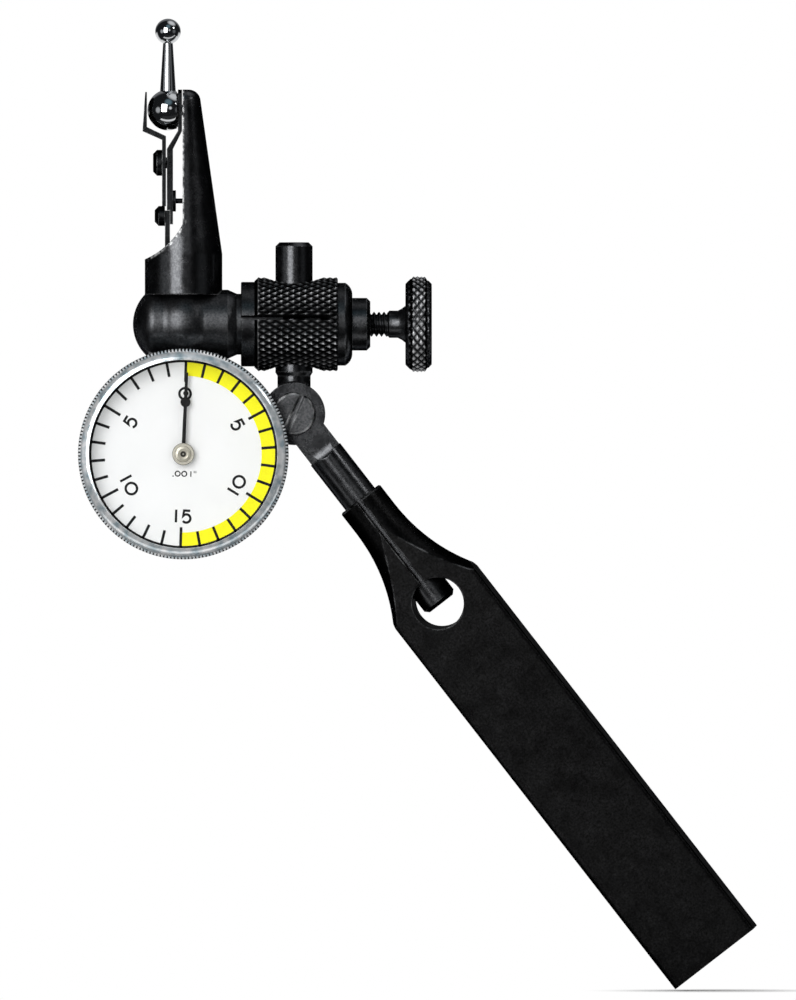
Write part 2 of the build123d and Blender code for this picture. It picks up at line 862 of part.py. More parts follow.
def friction_clip():
    """Spring leaf that presses the contact's ball towards the lever's cheek."""
    jog_top = fulcrum_height - clip_jog_top
    jog_foot = fulcrum_height - clip_jog_foot
    leaf_top = fulcrum_height + clip_leaf_top
    outer_foot = jog_top - (clip_leaf_far - clip_leaf_near)
    outline = Polyline(
        (-clip_leaf_near, leaf_top),
        (-clip_leaf_near - clip_tip, leaf_top),
        (-clip_leaf_far, outer_foot),
        (-clip_far, jog_foot - (clip_far - clip_near)),
        (-clip_far, clip_foot),
        (-clip_near, clip_foot),
        (-clip_near, jog_foot),
        (-clip_leaf_near, jog_top),
        (-clip_leaf_near, leaf_top),
    )
    leaf = plate(make_face(outline), -clip_width / 2, clip_width / 2)
    half = clip_width / 2
    shoulder = fulcrum_height + clip_leaf_top - half
    mask_height = shoulder - clip_foot
    mask = Pos(0, clip_foot + mask_height / 2) * Rectangle(clip_width, mask_height)
    leaf &= sheet(mask + Pos(0, shoulder) * Circle(half), -clip_leaf_far, 0)
    seat_start = -clip_leaf_far - overrun
    leaf -= rod_along_x(clip_seat_radius, seat_start, -clip_leaf_near + overrun, fulcrum_height)
    leaf -= rod_along_x(tension_radius + seat_gap, -clip_leaf_far, 0, tension_height)
    return barrel_frame * leaf


def lever_screw(head_radius, radius, height, head_height, edge, seat, tip):
    """Slotted screw along X with its head to the left, from its seat to its tip."""
    slot = (lever_slot_width, lever_slot_depth, 0)
    screw = slotted_head(head_radius, radius, head_height, seat - tip, edge, slot)
    facing = Plane(origin=(-seat, 0, height), x_dir=(0, 1, 0), z_dir=(-1, 0, 0))
    return barrel_frame * (facing * screw)


def tension_screw():
    """Screw that sets the clip's grip on the ball."""
    head = (tension_head_height, tension_head_edge)
    return lever_screw(tension_head_radius, tension_radius, tension_height, *head, clip_far, lever_near)


def clip_screw():
    """Screw that holds the tail on the lever's lap."""
    head = (clip_screw_head_height, clip_screw_edge)
    return lever_screw(clip_screw_head, clip_screw_radius, clip_screw_height, *head, tail_far, lever_near)


def transmission_tail():
    """Thin tapered tail from the lever's lap to the spindle."""
    foot = -dial_drop - tail_overhang
    outline = Polyline(
        (-tail_top_width / 2, lap_top - seat_gap),
        (tail_top_width / 2, lap_top - seat_gap),
        (tail_foot_width / 2, foot),
        (-tail_foot_width / 2, foot),
        (-tail_top_width / 2, lap_top - seat_gap),
    )
    body = sheet(make_face(outline), -tail_far, -tail_near)
    body -= rod_along_x(clip_screw_radius + thread_gap, -tail_far - overrun, 0, clip_screw_height)
    body -= rod_along_x(follower_radius + thread_gap, -tail_far - overrun, 0, -dial_drop)
    return barrel_frame * body


def limit_pin():
    """Pin that stops the lever in its clearance hole in the arm."""
    return barrel_frame * rod_along_x(limit_pin_radius, -lever_far, limit_pin_reach, limit_pin_height)


def follower_pin():
    """Pin at the tail's foot that rides in the spindle's helical groove."""
    return barrel_frame * rod_along_x(follower_radius, -tail_far, -follower_tip, -dial_drop)


def contact_point():
    """Polished contact: flat-sided swivel ball, tapered stem and small ball."""
    stem_start = math.sqrt(swivel_radius**2 - contact_root_radius**2)
    stem_end = contact_length - math.sqrt(contact_radius**2 - contact_neck_radius**2)
    body = Sphere(swivel_radius)
    body += turned_profile(
        [
            (contact_root_radius, stem_start - overrun),
            (contact_root_radius, stem_start),
            (contact_neck_radius, stem_end),
            (contact_neck_radius, contact_length),
        ]
    )
    body += Pos(0, 0, contact_length) * Sphere(contact_radius)
    flat = swivel_offset - swivel_flat
    reach = swivel_radius + overrun
    body -= block((flat, reach), (-reach, reach), (-reach, reach))
    body -= rod_along_x(stud_radius + run_gap, flat - stud_seat - seat_gap, reach, 0)
    return barrel_frame * (Pos(-swivel_offset, 0, fulcrum_height) * body)


# Spindle and pointer


def helical_groove():
    """Left-hand groove round the spindle, open to the left at the follower's rest place."""
    height = (groove_half + groove_run_out) * 2
    groove_rim = spindle_radius + groove_width / 2
    middle_radius = (groove_floor + groove_rim) / 2
    depth = groove_rim - groove_floor
    path = Helix(groove_lead, height, middle_radius, lefthand=True)
    section = Plane(origin=path @ 0, x_dir=(1, 0, 0), z_dir=path % 0) * Rectangle(depth, groove_width)
    groove = sweep(section, path=path, is_frenet=True)
    half_height = height / 2
    return Rot(0, 0, 360 * half_height / groove_lead) * (Pos(0, 0, -half_height) * groove)


def spindle():
    """Spindle with pivots at its ends and the follower's helical groove between them."""
    body = turned_profile(
        [
            (spindle_pivot_radius, -housing_back),
            (spindle_pivot_radius, -spindle_half),
            (spindle_radius, -spindle_half),
            (spindle_radius, spindle_half),
            (spindle_shaft_radius, spindle_half),
            (spindle_shaft_radius, hub_front),
        ]
    )
    return dial_frame * (body - Rot(0, 180, 0) * helical_groove())


def hairspring_collet():
    """Collet on the spindle at the hairspring's inner end."""
    low = spring_back + spring_height / 2 - collet_height / 2
    return dial_frame * ring(collet_radius, spindle_shaft_radius + thread_gap, low, low + collet_height)


def spiral(shift):
    """One edge of the hairspring: a spiral moved outwards by a shift."""
    steps = spring_turn_steps * spring_turns
    growth = (spring_outer - spring_inner) / steps
    points = []
    for step in range(steps + 1):
        radius = spring_inner + growth * step + shift
        angle = 2 * math.pi * spring_turns * step / steps
        points.append((radius * math.cos(angle), radius * math.sin(angle)))
    return Spline(points)


def hairspring():
    """Flat coil that takes up the backlash, from the collet to its stud."""
    inner, outer = spiral(0), spiral(spring_width)
    outline = inner + Line(inner @ 1, outer @ 1) + outer + Line(outer @ 0, inner @ 0)
    return dial_frame * (Pos(0, 0, spring_back) * extrude(make_face(outline), spring_height))


def hairspring_stud():
    """Stud in the case's floor at the hairspring's outer end."""
    place = Pos(spring_outer + spring_width + seat_gap + spring_stud_radius, 0, 0)
    return dial_frame * (place * disc(spring_stud_radius, case_floor, spring_back + collet_height))


def pointer_hub():
    """Stepped hub of the pointer on the spindle's front end."""
    bore = spindle_shaft_radius + thread_gap
    body = ring(hub_radius, bore, hub_back, hand_back)
    body += ring(hub_radius, bore, hand_back + hand_thickness, hub_step)
    body += ring(hub_step_radius, bore, hand_back, hub_front)
    return dial_frame * body


def pointer_hand():
    """Thin tapered hand with a round disc and a bead near its tip."""
    outline = Polyline(
        (-hand_root_half, 0),
        (hand_root_half, 0),
        (hand_tip_half, hand_length),
        (-hand_tip_half, hand_length),
        (-hand_root_half, 0),
    )
    face = make_face(outline) + Circle(hub_radius)
    face += Pos(0, hand_disc_place) * Circle(hand_disc_radius)
    face += Pos(0, hand_bead_place) * Circle(hand_bead_radius)
    face -= Circle(hub_step_radius + thread_gap)
    hand = Pos(0, 0, hand_back) * extrude(face, hand_thickness)
    return dial_frame * (Rot(0, 0, -hand_lean) * hand)


def pieces():
    """Every node's name and its solid."""
    made = {
        "tool_post_holder": tool_post_holder(),
        "swivel_rod": swivel_rod(),
        "knuckle_post": knuckle_post(),
        "knuckle_screw": knuckle_screw(),
        "cross_stem": cross_stem(),
        "clamp_sleeve": clamp_sleeve(),
        "clamp_end_cap": clamp_end_cap(),
        "pressure_shoe": pressure_shoe(),
        "pressure_plunger": pressure_plunger(),
        "thumb_screw": thumb_screw(),
        "body_frame": body_frame(),
        "back_cover": back_cover(),
        "dial_case": dial_case(),
        "snap_ring": snap_ring(),
        "front_bush": front_bush(),
        "rear_bush": rear_bush(),
        "fulcrum_stud": fulcrum_stud(),
        "hairspring": hairspring(),
        "hairspring_stud": hairspring_stud(),
        "bezel_ring": bezel_ring(),
        "crystal": crystal(),
        "spacer_ring": spacer_ring(),
        "dial_plate": dial_plate(),
        "lever_arm": lever_arm(),
        "friction_clip": friction_clip(),
        "tension_screw": tension_screw(),
        "clip_screw": clip_screw(),
        "transmission_tail": transmission_tail(),
        "limit_pin": limit_pin(),
        "follower_pin": follower_pin(),
        "contact_point": contact_point(),
        "spindle": spindle(),
        "hairspring_collet": hairspring_collet(),
        "pointer_hub": pointer_hub(),
        "pointer_hand": pointer_hand(),
    }
    for number, screw in enumerate(cover_screws(), 1):
        made[f"cover_screw_{number}"] = screw
    for number, screw in enumerate(case_screws(), 1):
        made[f"case_screw_{number}"] = screw
    return made


os.makedirs("parts", exist_ok=True)
for name, solid in pieces().items():
    export_step(solid, f"parts/{name}.step")
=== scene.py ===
import json
import math

import bmesh
import bpy
import numpy as np
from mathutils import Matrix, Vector


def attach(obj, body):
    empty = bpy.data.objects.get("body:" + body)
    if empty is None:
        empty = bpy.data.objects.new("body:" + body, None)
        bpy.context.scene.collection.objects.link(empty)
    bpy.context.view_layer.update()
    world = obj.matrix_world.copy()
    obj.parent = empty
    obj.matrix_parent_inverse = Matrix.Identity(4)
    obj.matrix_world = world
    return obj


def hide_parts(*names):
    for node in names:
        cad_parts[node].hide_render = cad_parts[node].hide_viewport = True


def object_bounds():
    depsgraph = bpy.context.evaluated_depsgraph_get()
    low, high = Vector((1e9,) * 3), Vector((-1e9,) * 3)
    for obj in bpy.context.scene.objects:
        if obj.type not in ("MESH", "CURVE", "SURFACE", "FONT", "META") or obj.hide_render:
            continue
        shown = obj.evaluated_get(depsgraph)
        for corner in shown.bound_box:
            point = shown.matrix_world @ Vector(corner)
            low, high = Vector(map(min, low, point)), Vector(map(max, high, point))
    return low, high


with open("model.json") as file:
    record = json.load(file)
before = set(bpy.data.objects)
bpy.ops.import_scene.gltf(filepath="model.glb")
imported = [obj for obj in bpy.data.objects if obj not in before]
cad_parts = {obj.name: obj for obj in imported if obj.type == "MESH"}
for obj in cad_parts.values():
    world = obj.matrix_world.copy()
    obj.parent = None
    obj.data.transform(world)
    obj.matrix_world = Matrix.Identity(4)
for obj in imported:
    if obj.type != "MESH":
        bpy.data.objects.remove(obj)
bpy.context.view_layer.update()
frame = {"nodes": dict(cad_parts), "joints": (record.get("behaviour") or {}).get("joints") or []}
nodes = frame["nodes"]
joints = {joint["name"]: joint for joint in frame["joints"]}

# Shank. A flat bar of tool steel, milled on its faces, turned down at one end to a split tube,
# drilled across and blackened in a hot salt bath, so it is nearly black with a dull sheen.
# Handling has rubbed its long edges a little brighter than its faces.

MM = 0.001


def linear(colour):
    """An sRGB hex colour as linear red, green, blue and alpha: each channel c becomes
    ((c + 0.055) / 1.055) ** 2.4, or c / 12.92 where it is small."""
    channels = np.array([int(colour[i : i + 2], 16) for i in (1, 3, 5)]) / 255
    low, high = channels / 12.92, ((channels + 0.055) / 1.055) ** 2.4
    return (*np.where(channels <= 0.04045, low, high), 1.0)


def add_node(tree, kind, inputs=None, **settings):
    """Adds one node. Settings are its own attributes; inputs are values or sockets to link."""
    made = tree.nodes.new(kind)
    for name, value in settings.items():
        setattr(made, name, value)
    for name, value in (inputs or {}).items():
        if isinstance(value, bpy.types.NodeSocket):
            tree.links.new(value, made.inputs[name])
        else:
            made.inputs[name].default_value = value
    return made


def combine(tree, operation, *values):
    """The result of one math node on values or sockets."""
    return add_node(tree, "ShaderNodeMath", dict(enumerate(values)), operation=operation).outputs[0]


def remap(tree, value, start, end, low=0.0, high=1.0, kind="LINEAR"):
    """A value's way from start to end, as a number from low to high that stays between them."""
    limits = {"Value": value, "From Min": start, "From Max": end, "To Min": low, "To Max": high}
    return add_node(
        tree, "ShaderNodeMapRange", limits, clamp=True, interpolation_type=kind
    ).outputs[0]


def combine_vectors(tree, operation, *values):
    """The result of one vector math node: a number where the operation gives a number."""
    made = add_node(tree, "ShaderNodeVectorMath", dict(enumerate(values)), operation=operation)
    gives_number = operation in ("LENGTH", "DISTANCE", "DOT_PRODUCT")
    return made.outputs["Value" if gives_number else "Vector"]


def blend(tree, share, first, second):
    """Two colours mixed: the first where the share is 0, the second where it is 1."""
    colours = {"Factor": share, "A": first, "B": second}
    return add_node(tree, "ShaderNodeMix", colours, data_type="RGBA").outputs["Result"]


def noise_at(tree, place, scale, detail, rough=0.5):
    """Cloudy noise at a place, with a scale in waves per metre."""
    settings = {"Vector": place, "Scale": scale, "Detail": detail, "Roughness": rough}
    return add_node(tree, "ShaderNodeTexNoise", settings).outputs["Fac"]


def new_material(name):
    """An empty material and its node tree, with the object's coordinates ready to link."""
    material = bpy.data.materials.new(name)
    material.use_nodes = True
    tree = material.node_tree
    tree.nodes.clear()
    place = add_node(tree, "ShaderNodeTexCoord").outputs["Object"]
    return material, tree, place


def finish_material(tree, shader):
    """Links a shader to the material's output."""
    add_node(tree, "ShaderNodeOutputMaterial", {"Surface": shader})


def dress(material, *names):
    """Gives CAD nodes a material, in every slot they have."""
    for name in names:
        mesh = nodes[name].data
        mesh.materials.clear()
        mesh.materials.append(material)


def black_oxide(
    name,
    centre,
    axis,
    lines,
    dark="#3e3f41",
    pale="#78797b",
    wear_and_glint="#8d8f91",
    rough=0.24,
    edge=0.16,
    grain=0.5,
    crest=None,
    frame_marks=None,
):
    """Blackened steel. Fine tool lines run round an axis through a centre, because the noise is
    stretched across it; broad clouds and small specks of thinner black vary the tone; the rounded
    normal of each edge catches the light, and a pale colour is painted along the edges: partly
    wear that takes the black off, partly painted highlight. With crest, the radii of a knurl's
    flanks and crests, the pale colour goes on the crests instead, and all below the crests is
    darkened as painted shade. With frame_marks, pale lines of wear and painted highlight are
    painted beside the arm's flat and scoop, and the bulge below is coarser."""
    material, tree, place = new_material(name)
    turn = Vector((0, 0, 1)).rotation_difference(Vector(axis)).inverted().to_euler()
    centred = combine_vectors(tree, "SUBTRACT", place, centre)
    upright = {"Vector": centred, "Rotation": turn}
    local = add_node(tree, "ShaderNodeVectorRotate", upright, rotation_type="EULER_XYZ").outputs[0]
    stretched = add_node(tree, "ShaderNodeMapping", {"Vector": local, "Scale": lines}).outputs[0]
    tool_lines = noise_at(tree, stretched, 1.0, 4.0, 0.6)
    clouds = noise_at(tree, local, 420.0, 5.0, 0.62)
    specks = noise_at(tree, local, 3800.0, 3.0, 0.7)
    # Each edge found here gets a pale colour: partly wear, partly painted highlight.
    round_edge = add_node(tree, "ShaderNodeBevel", {"Radius": edge * MM}, samples=4).outputs[0]
    flat = add_node(tree, "ShaderNodeNewGeometry").outputs["Normal"]
    meet = combine_vectors(tree, "DOT_PRODUCT", round_edge, flat)
    edge_mask = remap(tree, meet, 0.993, 0.93)
    broken = remap(tree, clouds, 0.42, 0.62)
    wear_and_glint_mask = combine(tree, "MULTIPLY", edge_mask, broken)
    if crest:
        spread = combine_vectors(tree, "MULTIPLY", local, (1, 1, 0))
        radius = combine_vectors(tree, "LENGTH", spread)
        high = remap(tree, radius, crest[0] * MM, crest[1] * MM)
        peak = combine(tree, "POWER", high, 4.0)
        patchy = remap(tree, broken, 0.0, 1.0, 0.5, 1.0)
        wear_and_glint_mask = combine(tree, "MULTIPLY", peak, patchy)
    coarse = 0.0
    # Pale lines along the arm's flat and the scoop's edge: partly wear, partly painted highlight.
    # The pale colour on other edges is cut to a third.
    if frame_marks:
        side = add_node(tree, "ShaderNodeSeparateXYZ", {0: local})
        flat_edge, scoop_centre, scoop_radius, arm_from, bulge_top = frame_marks
        off_flat = combine(tree, "ADD", side.outputs["X"], -flat_edge * MM)
        off_flat = combine(tree, "ABSOLUTE", off_flat)
        along_flat = remap(tree, off_flat, 0.26 * MM, 0.1 * MM)
        above = remap(tree, side.outputs["Z"], arm_from * MM, (arm_from + 0.5) * MM)
        along_flat = combine(tree, "MULTIPLY", along_flat, above)
        sunk = combine_vectors(tree, "MULTIPLY", local, (1, 0, 1))
        centre_of_scoop = (scoop_centre[0] * MM, 0, scoop_centre[1] * MM)
        deep = combine_vectors(tree, "DISTANCE", sunk, centre_of_scoop)
        along_scoop = remap(tree, deep, (scoop_radius + 0.38) * MM, (scoop_radius + 0.2) * MM)
        below = combine(tree, "SUBTRACT", 1.0, above)
        along_scoop = combine(tree, "MULTIPLY", along_scoop, below)
        lines = combine(tree, "MAXIMUM", along_flat, along_scoop)
        dots = noise_at(tree, local, 1500.0, 2.0)
        dots = remap(tree, dots, 0.38, 0.58, 0.0, 0.75)
        lines = combine(tree, "MULTIPLY", lines, dots)
        own_normal = add_node(tree, "ShaderNodeTexCoord").outputs["Normal"]
        outward = add_node(tree, "ShaderNodeSeparateXYZ", {0: own_normal}).outputs["Y"]
        outward = combine(tree, "ABSOLUTE", outward)
        outside = remap(tree, outward, 0.25, 0.5)
        lines = combine(tree, "MULTIPLY", lines, outside)
        high = remap(tree, side.outputs["Z"], bulge_top * MM, (bulge_top + 0.1) * MM)
        wear_and_glint_mask = combine(tree, "MULTIPLY", wear_and_glint_mask, 0.3)
        wear_and_glint_mask = combine(tree, "MAXIMUM", wear_and_glint_mask, lines)
        coarse = remap(tree, high, 0.0, 1.0, 0.12, 0.0)
    tone = remap(tree, specks, 0.35, 0.75)
    cloud_tone = combine(tree, "MULTIPLY", tone, clouds)
    black = blend(tree, cloud_tone, linear(dark), linear(pale))
    # Below the crests the black is darkened to near black: painted shade in the knurl's hollows.
    if crest:
        rolled = remap(tree, radius, (crest[0] - 0.2) * MM, (crest[0] - 0.12) * MM)
        shaded_valley = add_node(
            tree, "ShaderNodeMath", {0: rolled, 1: high}, operation="SUBTRACT", use_clamp=True
        ).outputs[0]
        black = blend(tree, shaded_valley, black, linear("#060606"))
    # The pale edge colour is painted in here: partly wear, partly painted highlight.
    colour = blend(tree, wear_and_glint_mask, black, linear(wear_and_glint))
    dull = remap(tree, clouds, 0.3, 0.7, rough - 0.05, rough + 0.1)
    dull = combine(tree, "ADD", dull, coarse)
    solid = remap(tree, wear_and_glint_mask, 0.0, 1.0, 1.0, 0.5)
    relief = add_node(
        tree,
        "ShaderNodeBump",
        {"Height": tool_lines, "Strength": 0.35, "Distance": 0.01 * MM, "Normal": round_edge},
    )
    pitted = add_node(
        tree,
        "ShaderNodeBump",
        {"Height": specks, "Strength": grain, "Distance": 0.01 * MM, "Normal": relief.outputs[0]},
    )
    shader = add_node(
        tree,
        "ShaderNodeBsdfPrincipled",
        {
            "Base Color": colour,
            "Metallic": solid,
            "Roughness": dull,
            "Specular Tint": linear("#3b3c3d"),
            "Normal": pitted.outputs[0],
        },
    )
    finish_material(tree, shader.outputs[0])
    return material


rod_axis = Vector(joints["rod_turn"]["axis"])
milled_black = black_oxide(
    "black_oxide_milled_bar",
    (0, 0, 0),
    rod_axis,
    (900, 900, 60),
    dark="#111111",
    pale="#343435",
    wear_and_glint="#77787a",
    rough=0.32,
    edge=0.3,
)
dress(milled_black, "tool_post_holder")

# Swivel rod and knuckle. Round rod and a short post, both turned from bar with flats milled for
# their eyes, joined by a slotted screw that sets how stiff the knuckle is. All are blackened, and
# the turning left fine rings round the rod.

turned_rod = black_oxide("black_oxide_turned_rod", (0, 0, 0), rod_axis, (40, 40, 9000), rough=0.24)
dress(turned_rod, "swivel_rod")
knuckle_point = Vector(joints["knuckle_tilt"]["pos_m"])
turned_post = black_oxide(
    "black_oxide_turned_post", knuckle_point, (0, 0, 1), (40, 40, 9000), rough=0.24
)
dress(turned_post, "knuckle_post", "cross_stem")
# The screw's edges are painted near white: partly wear, partly painted glints on its rim and slot.
faced_screw = black_oxide(
    "black_oxide_faced_screw",
    knuckle_point,
    (0, 1, 0),
    (900, 900, 900),
    dark="#3e3f41",
    pale="#9a9b9d",
    wear_and_glint="#f4f5f6",
    rough=0.34,
    edge=0.34,
    grain=1.0,
)
dress(faced_screw, "knuckle_screw")

# Clamp. A blackened sleeve, rolled with a diamond knurl so the fingers can turn it, bored through
# for the indicator's stub, cross-drilled and countersunk for the stem, and slit so it can close.
# A plain cap with a threaded boss shuts its outer end.

clamp_point = Vector(joints["stem_turn"]["pos_m"])
SLEEVE_RADIUS = 5.97
KNURL_STARTS = 42
KNURL_LEAD = 1.52
KNURL_DEPTH = 0.27
KNURL_END = -4.6
SLOT_TURN = 8.3
SLOT_HALF = 0.3


def ridge(phase):
    """A zigzag wave from 0 in the groove, where the phase is a half, to 1 on the crest."""
    return np.abs(2 * (phase - np.floor(phase)) - 1)


def diamonds(turn, place, starts, lead):
    """Height of a diamond knurl: the lower of two zigzags that wind round opposite ways."""
    around = starts * turn / (2 * np.pi)
    return np.minimum(ridge(around + place / lead), ridge(around - place / lead))


def grid_faces(rows, columns):
    """Quads between the points of a grid whose columns close on themselves."""
    row, column = np.meshgrid(np.arange(rows - 1), np.arange(columns), indexing="ij")
    following = (column + 1) % columns
    corners = (
        row * columns + column,
        row * columns + following,
        (row + 1) * columns + following,
        (row + 1) * columns + column,
    )
    return np.stack(corners, -1).reshape(-1, 4)


def mesh_object(name, points, faces, smooth_angle=32.0):
    """A mesh object from points in millimetres and faces. Doubles are merged, normals point
    outwards, and edges that turn by more than an angle stay sharp."""
    mesh = bpy.data.meshes.new(name)
    mesh.from_pydata((np.asarray(points) * MM).tolist(), [], [list(face) for face in faces])
    shape = bmesh.new()
    shape.from_mesh(mesh)
    bmesh.ops.remove_doubles(shape, verts=shape.verts, dist=0.0005 * MM)
    bmesh.ops.recalc_face_normals(shape, faces=shape.faces)
    shape.to_mesh(mesh)
    shape.free()
    mesh.polygons.foreach_set("use_smooth", [True] * len(mesh.polygons))
    mesh.set_sharp_from_angle(angle=math.radians(smooth_angle))
    made = bpy.data.objects.new(name, mesh)
    bpy.context.collection.objects.link(made)
    return made


def turned(name, radii, places, centre, axis, side, smooth_angle=32.0):
    """A turned piece. Row i has the radius radii[i] at each of its angles and lies places[i] along
    the axis: point = centre + axis * place + radius * (side * cos + across * sin)."""
    axis, side = np.array(axis, float), np.array(side, float)
    across = np.cross(axis, side)
    columns = radii.shape[1]
    turn = np.linspace(0, 2 * np.pi, columns, endpoint=False)
    wheel = side * np.cos(turn)[:, None] + across * np.sin(turn)[:, None]
    points = np.array(centre) / MM + places[..., None] * axis + radii[..., None] * wheel
    return mesh_object(name, points.reshape(-1, 3), grid_faces(*radii.shape), smooth_angle)


def rings(outline, columns):
    """The radii and places of a turned outline of (radius, place) rows, without a knurl."""
    radius, place = np.array(outline, float).T
    flat = np.ones(columns)
    return radius[:, None] * flat, place[:, None] * flat


def cut(piece, *cutters):
    """Takes cutters out of a piece with exact booleans, applied to its mesh."""
    for cutter in cutters:
        tool = piece.modifiers.new("cut", "BOOLEAN")
        tool.operation, tool.solver, tool.object = "DIFFERENCE", "EXACT", cutter
        bpy.context.view_layer.update()
        done = bpy.data.meshes.new_from_object(
            piece.evaluated_get(bpy.context.evaluated_depsgraph_get())
        )
        piece.modifiers.clear()
        piece.data = done
        bpy.data.objects.remove(cutter)
    piece.data.polygons.foreach_set("use_smooth", [True] * len(piece.data.polygons))
    piece.data.set_sharp_from_angle(angle=math.radians(32))


def put(piece, body, material, slot, *replaced):
    """Gives a new piece its material and its body, and hides the nodes it stands for. The slot is
    not used.
    """
    piece.data.materials.clear()
    piece.data.materials.append(material)
    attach(piece, body)
    if replaced:
        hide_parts(*replaced)


columns = KNURL_STARTS * 10
turn = np.linspace(0, 2 * np.pi, columns, endpoint=False)
knurl_places = np.arange(-4.55, 5.5, KNURL_LEAD / 12)
shape = diamonds(turn[None, :], knurl_places[:, None], KNURL_STARTS, KNURL_LEAD)
fade = np.clip((knurl_places - KNURL_END) / 0.25, 0, 1)[:, None]
knurl_radii = SLEEVE_RADIUS - KNURL_DEPTH * (1 - shape) * fade
before = rings(
    [
        (0, -1.0),
        (3.91, -1.0),
        (3.91, -6.73),
        (5.27, -6.73),
        (5.37, -6.63),
        (5.37, -5.02),
        (5.5, -5.02),
        (5.85, -4.62),
    ],
    columns,
)
after = rings([(5.75, 5.56), (3.04, 5.56), (3.04, 1.0), (0, 1.0)], columns)
sleeve_radii = np.vstack([before[0], knurl_radii, after[0]])
sleeve_places = np.vstack([before[1], np.repeat(knurl_places[:, None], columns, 1), after[1]])
sleeve = turned(
    "clamp_sleeve_knurled", sleeve_radii, sleeve_places, clamp_point, (1, 0, 0), (0, 0, 1), 60
)
bore = turned(
    "bore",
    *rings(
        [(0, -9), (3.6, -5.97), (2.4, -4.87), (2.4, 4.87), (3.6, 5.97), (4.7, 6.98), (0, 9)], 96
    ),
    clamp_point,
    (0, 0, 1),
    (1, 0, 0),
)
slot_turn = math.radians(SLOT_TURN)
slot_up = np.array((0, math.sin(slot_turn), math.cos(slot_turn)))
slot_out = np.array((0, -math.cos(slot_turn), math.sin(slot_turn)))
corner = [(x, u, o) for x in (-8, 4.3) for u in (-SLOT_HALF, SLOT_HALF) for o in (1, 8)]
box_points = [
    np.array(clamp_point) / MM + np.array((x, 0, 0)) + slot_up * u + slot_out * o
    for x, u, o in corner
]
box_faces = [(0, 1, 3, 2), (4, 6, 7, 5), (0, 4, 5, 1), (2, 3, 7, 6), (0, 2, 6, 4), (1, 5, 7, 3)]
slit = mesh_object("slit", box_points, box_faces)
cut(sleeve, bore, slit)
# The knurl's crests are painted near white, partly wear and partly painted glints, and the rest of
# the knurl is darkened as painted shade.
knurled_black = black_oxide(
    "black_oxide_knurled",
    clamp_point,
    (1, 0, 0),
    (60, 60, 5000),
    wear_and_glint="#d6d7d9",
    rough=0.26,
    edge=0.1,
    crest=(5.72, 5.98),
)
put(sleeve, "clamp", knurled_black, "blackened_steel", "clamp_sleeve")
turned_cap = black_oxide(
    "black_oxide_turned_cap", clamp_point, (1, 0, 0), (40, 40, 9000), wear_and_glint="#8d9093", rough=0.24
)
dress(turned_cap, "clamp_end_cap")

# Shoe and plunger. Two small saddles of tool steel inside the clamp, painted dark for the shade
# inside the slit: they press on the stem and on the end of the stub.


def bare_metal(
    name, colour, rough, scale, centre=(0, 0, 0), lines=(1, 1, 1), contrast=0.12, gloss=1.0
):
    """Uncoated metal: its colour varies a little with a noise of a given scale per metre, and
    fine tool marks follow the noise stretched by lines."""
    material, tree, place = new_material(name)
    centred = combine_vectors(tree, "SUBTRACT", place, centre)
    stretched = add_node(tree, "ShaderNodeMapping", {"Vector": centred, "Scale": lines}).outputs[0]
    noise = noise_at(tree, stretched, scale, 4.0, 0.6)
    bright = linear(colour)
    dim = tuple(channel * (1 - contrast) for channel in bright[:3]) + (1.0,)
    tone = blend(tree, noise, dim, bright)
    dull = remap(tree, noise, 0.0, 1.0, rough * 0.75, rough * 1.3)
    round_edge = add_node(tree, "ShaderNodeBevel", {"Radius": 0.08 * MM}, samples=4).outputs[0]
    relief = add_node(
        tree,
        "ShaderNodeBump",
        {"Height": noise, "Strength": 0.12, "Distance": 0.005 * MM, "Normal": round_edge},
    ).outputs[0]
    shader = add_node(
        tree,
        "ShaderNodeBsdfPrincipled",
        {"Base Color": tone, "Metallic": gloss, "Roughness": dull, "Normal": relief},
    )
    finish_material(tree, shader.outputs[0])
    return material


ground_steel = bare_metal("ground_tool_steel", "#b4b6b8", 0.3, 900.0)
# Painted shade: the shoe and plunger are coloured dark for the shade inside the slit.
shade_dark_steel = bare_metal("shade_darkened_tool_steel", "#3c3d3f", 0.45, 900.0)
dress(shade_dark_steel, "pressure_shoe", "pressure_plunger")

# Thumb screw. Turned from one bar: a pilot, a 40-per-inch thread, a neck and a broad wheel whose
# rim is rolled with a coarser diamond knurl. Blackened like the rest.

WHEEL_STARTS = 30
WHEEL_LEAD = 0.98
WHEEL_DEPTH = 0.3
THREAD_PITCH = 0.635
THREAD_DEPTH = 0.36
columns = WHEEL_STARTS * 12
turn = np.linspace(0, 2 * np.pi, columns, endpoint=False)
thread_places = np.arange(9.2, 11.95, THREAD_PITCH / 10)
wave = ridge(thread_places[:, None] / THREAD_PITCH - turn[None, :] / (2 * np.pi))
run_out = np.clip((11.99 - thread_places) / 0.25, 0, 1)[:, None]
thread_radii = 1.58 - THREAD_DEPTH * np.clip(1.15 - wave * 1.3, 0, 1) * run_out
wheel_places = np.arange(14.52, 17.14, WHEEL_LEAD / 12)
wheel_edge = np.clip(np.minimum(wheel_places - 14.14, 17.5 - wheel_places) / 0.95, 0, 1)
wheel_line = 6.1 - 0.95 * (1 - wheel_edge)
shape = diamonds(turn[None, :], wheel_places[:, None], WHEEL_STARTS, WHEEL_LEAD)
fade = np.clip(np.minimum(wheel_places - 14.5, 17.16 - wheel_places) / 0.2, 0, 1)[:, None]
wheel_radii = wheel_line[:, None] - WHEEL_DEPTH * (1 - shape) * fade
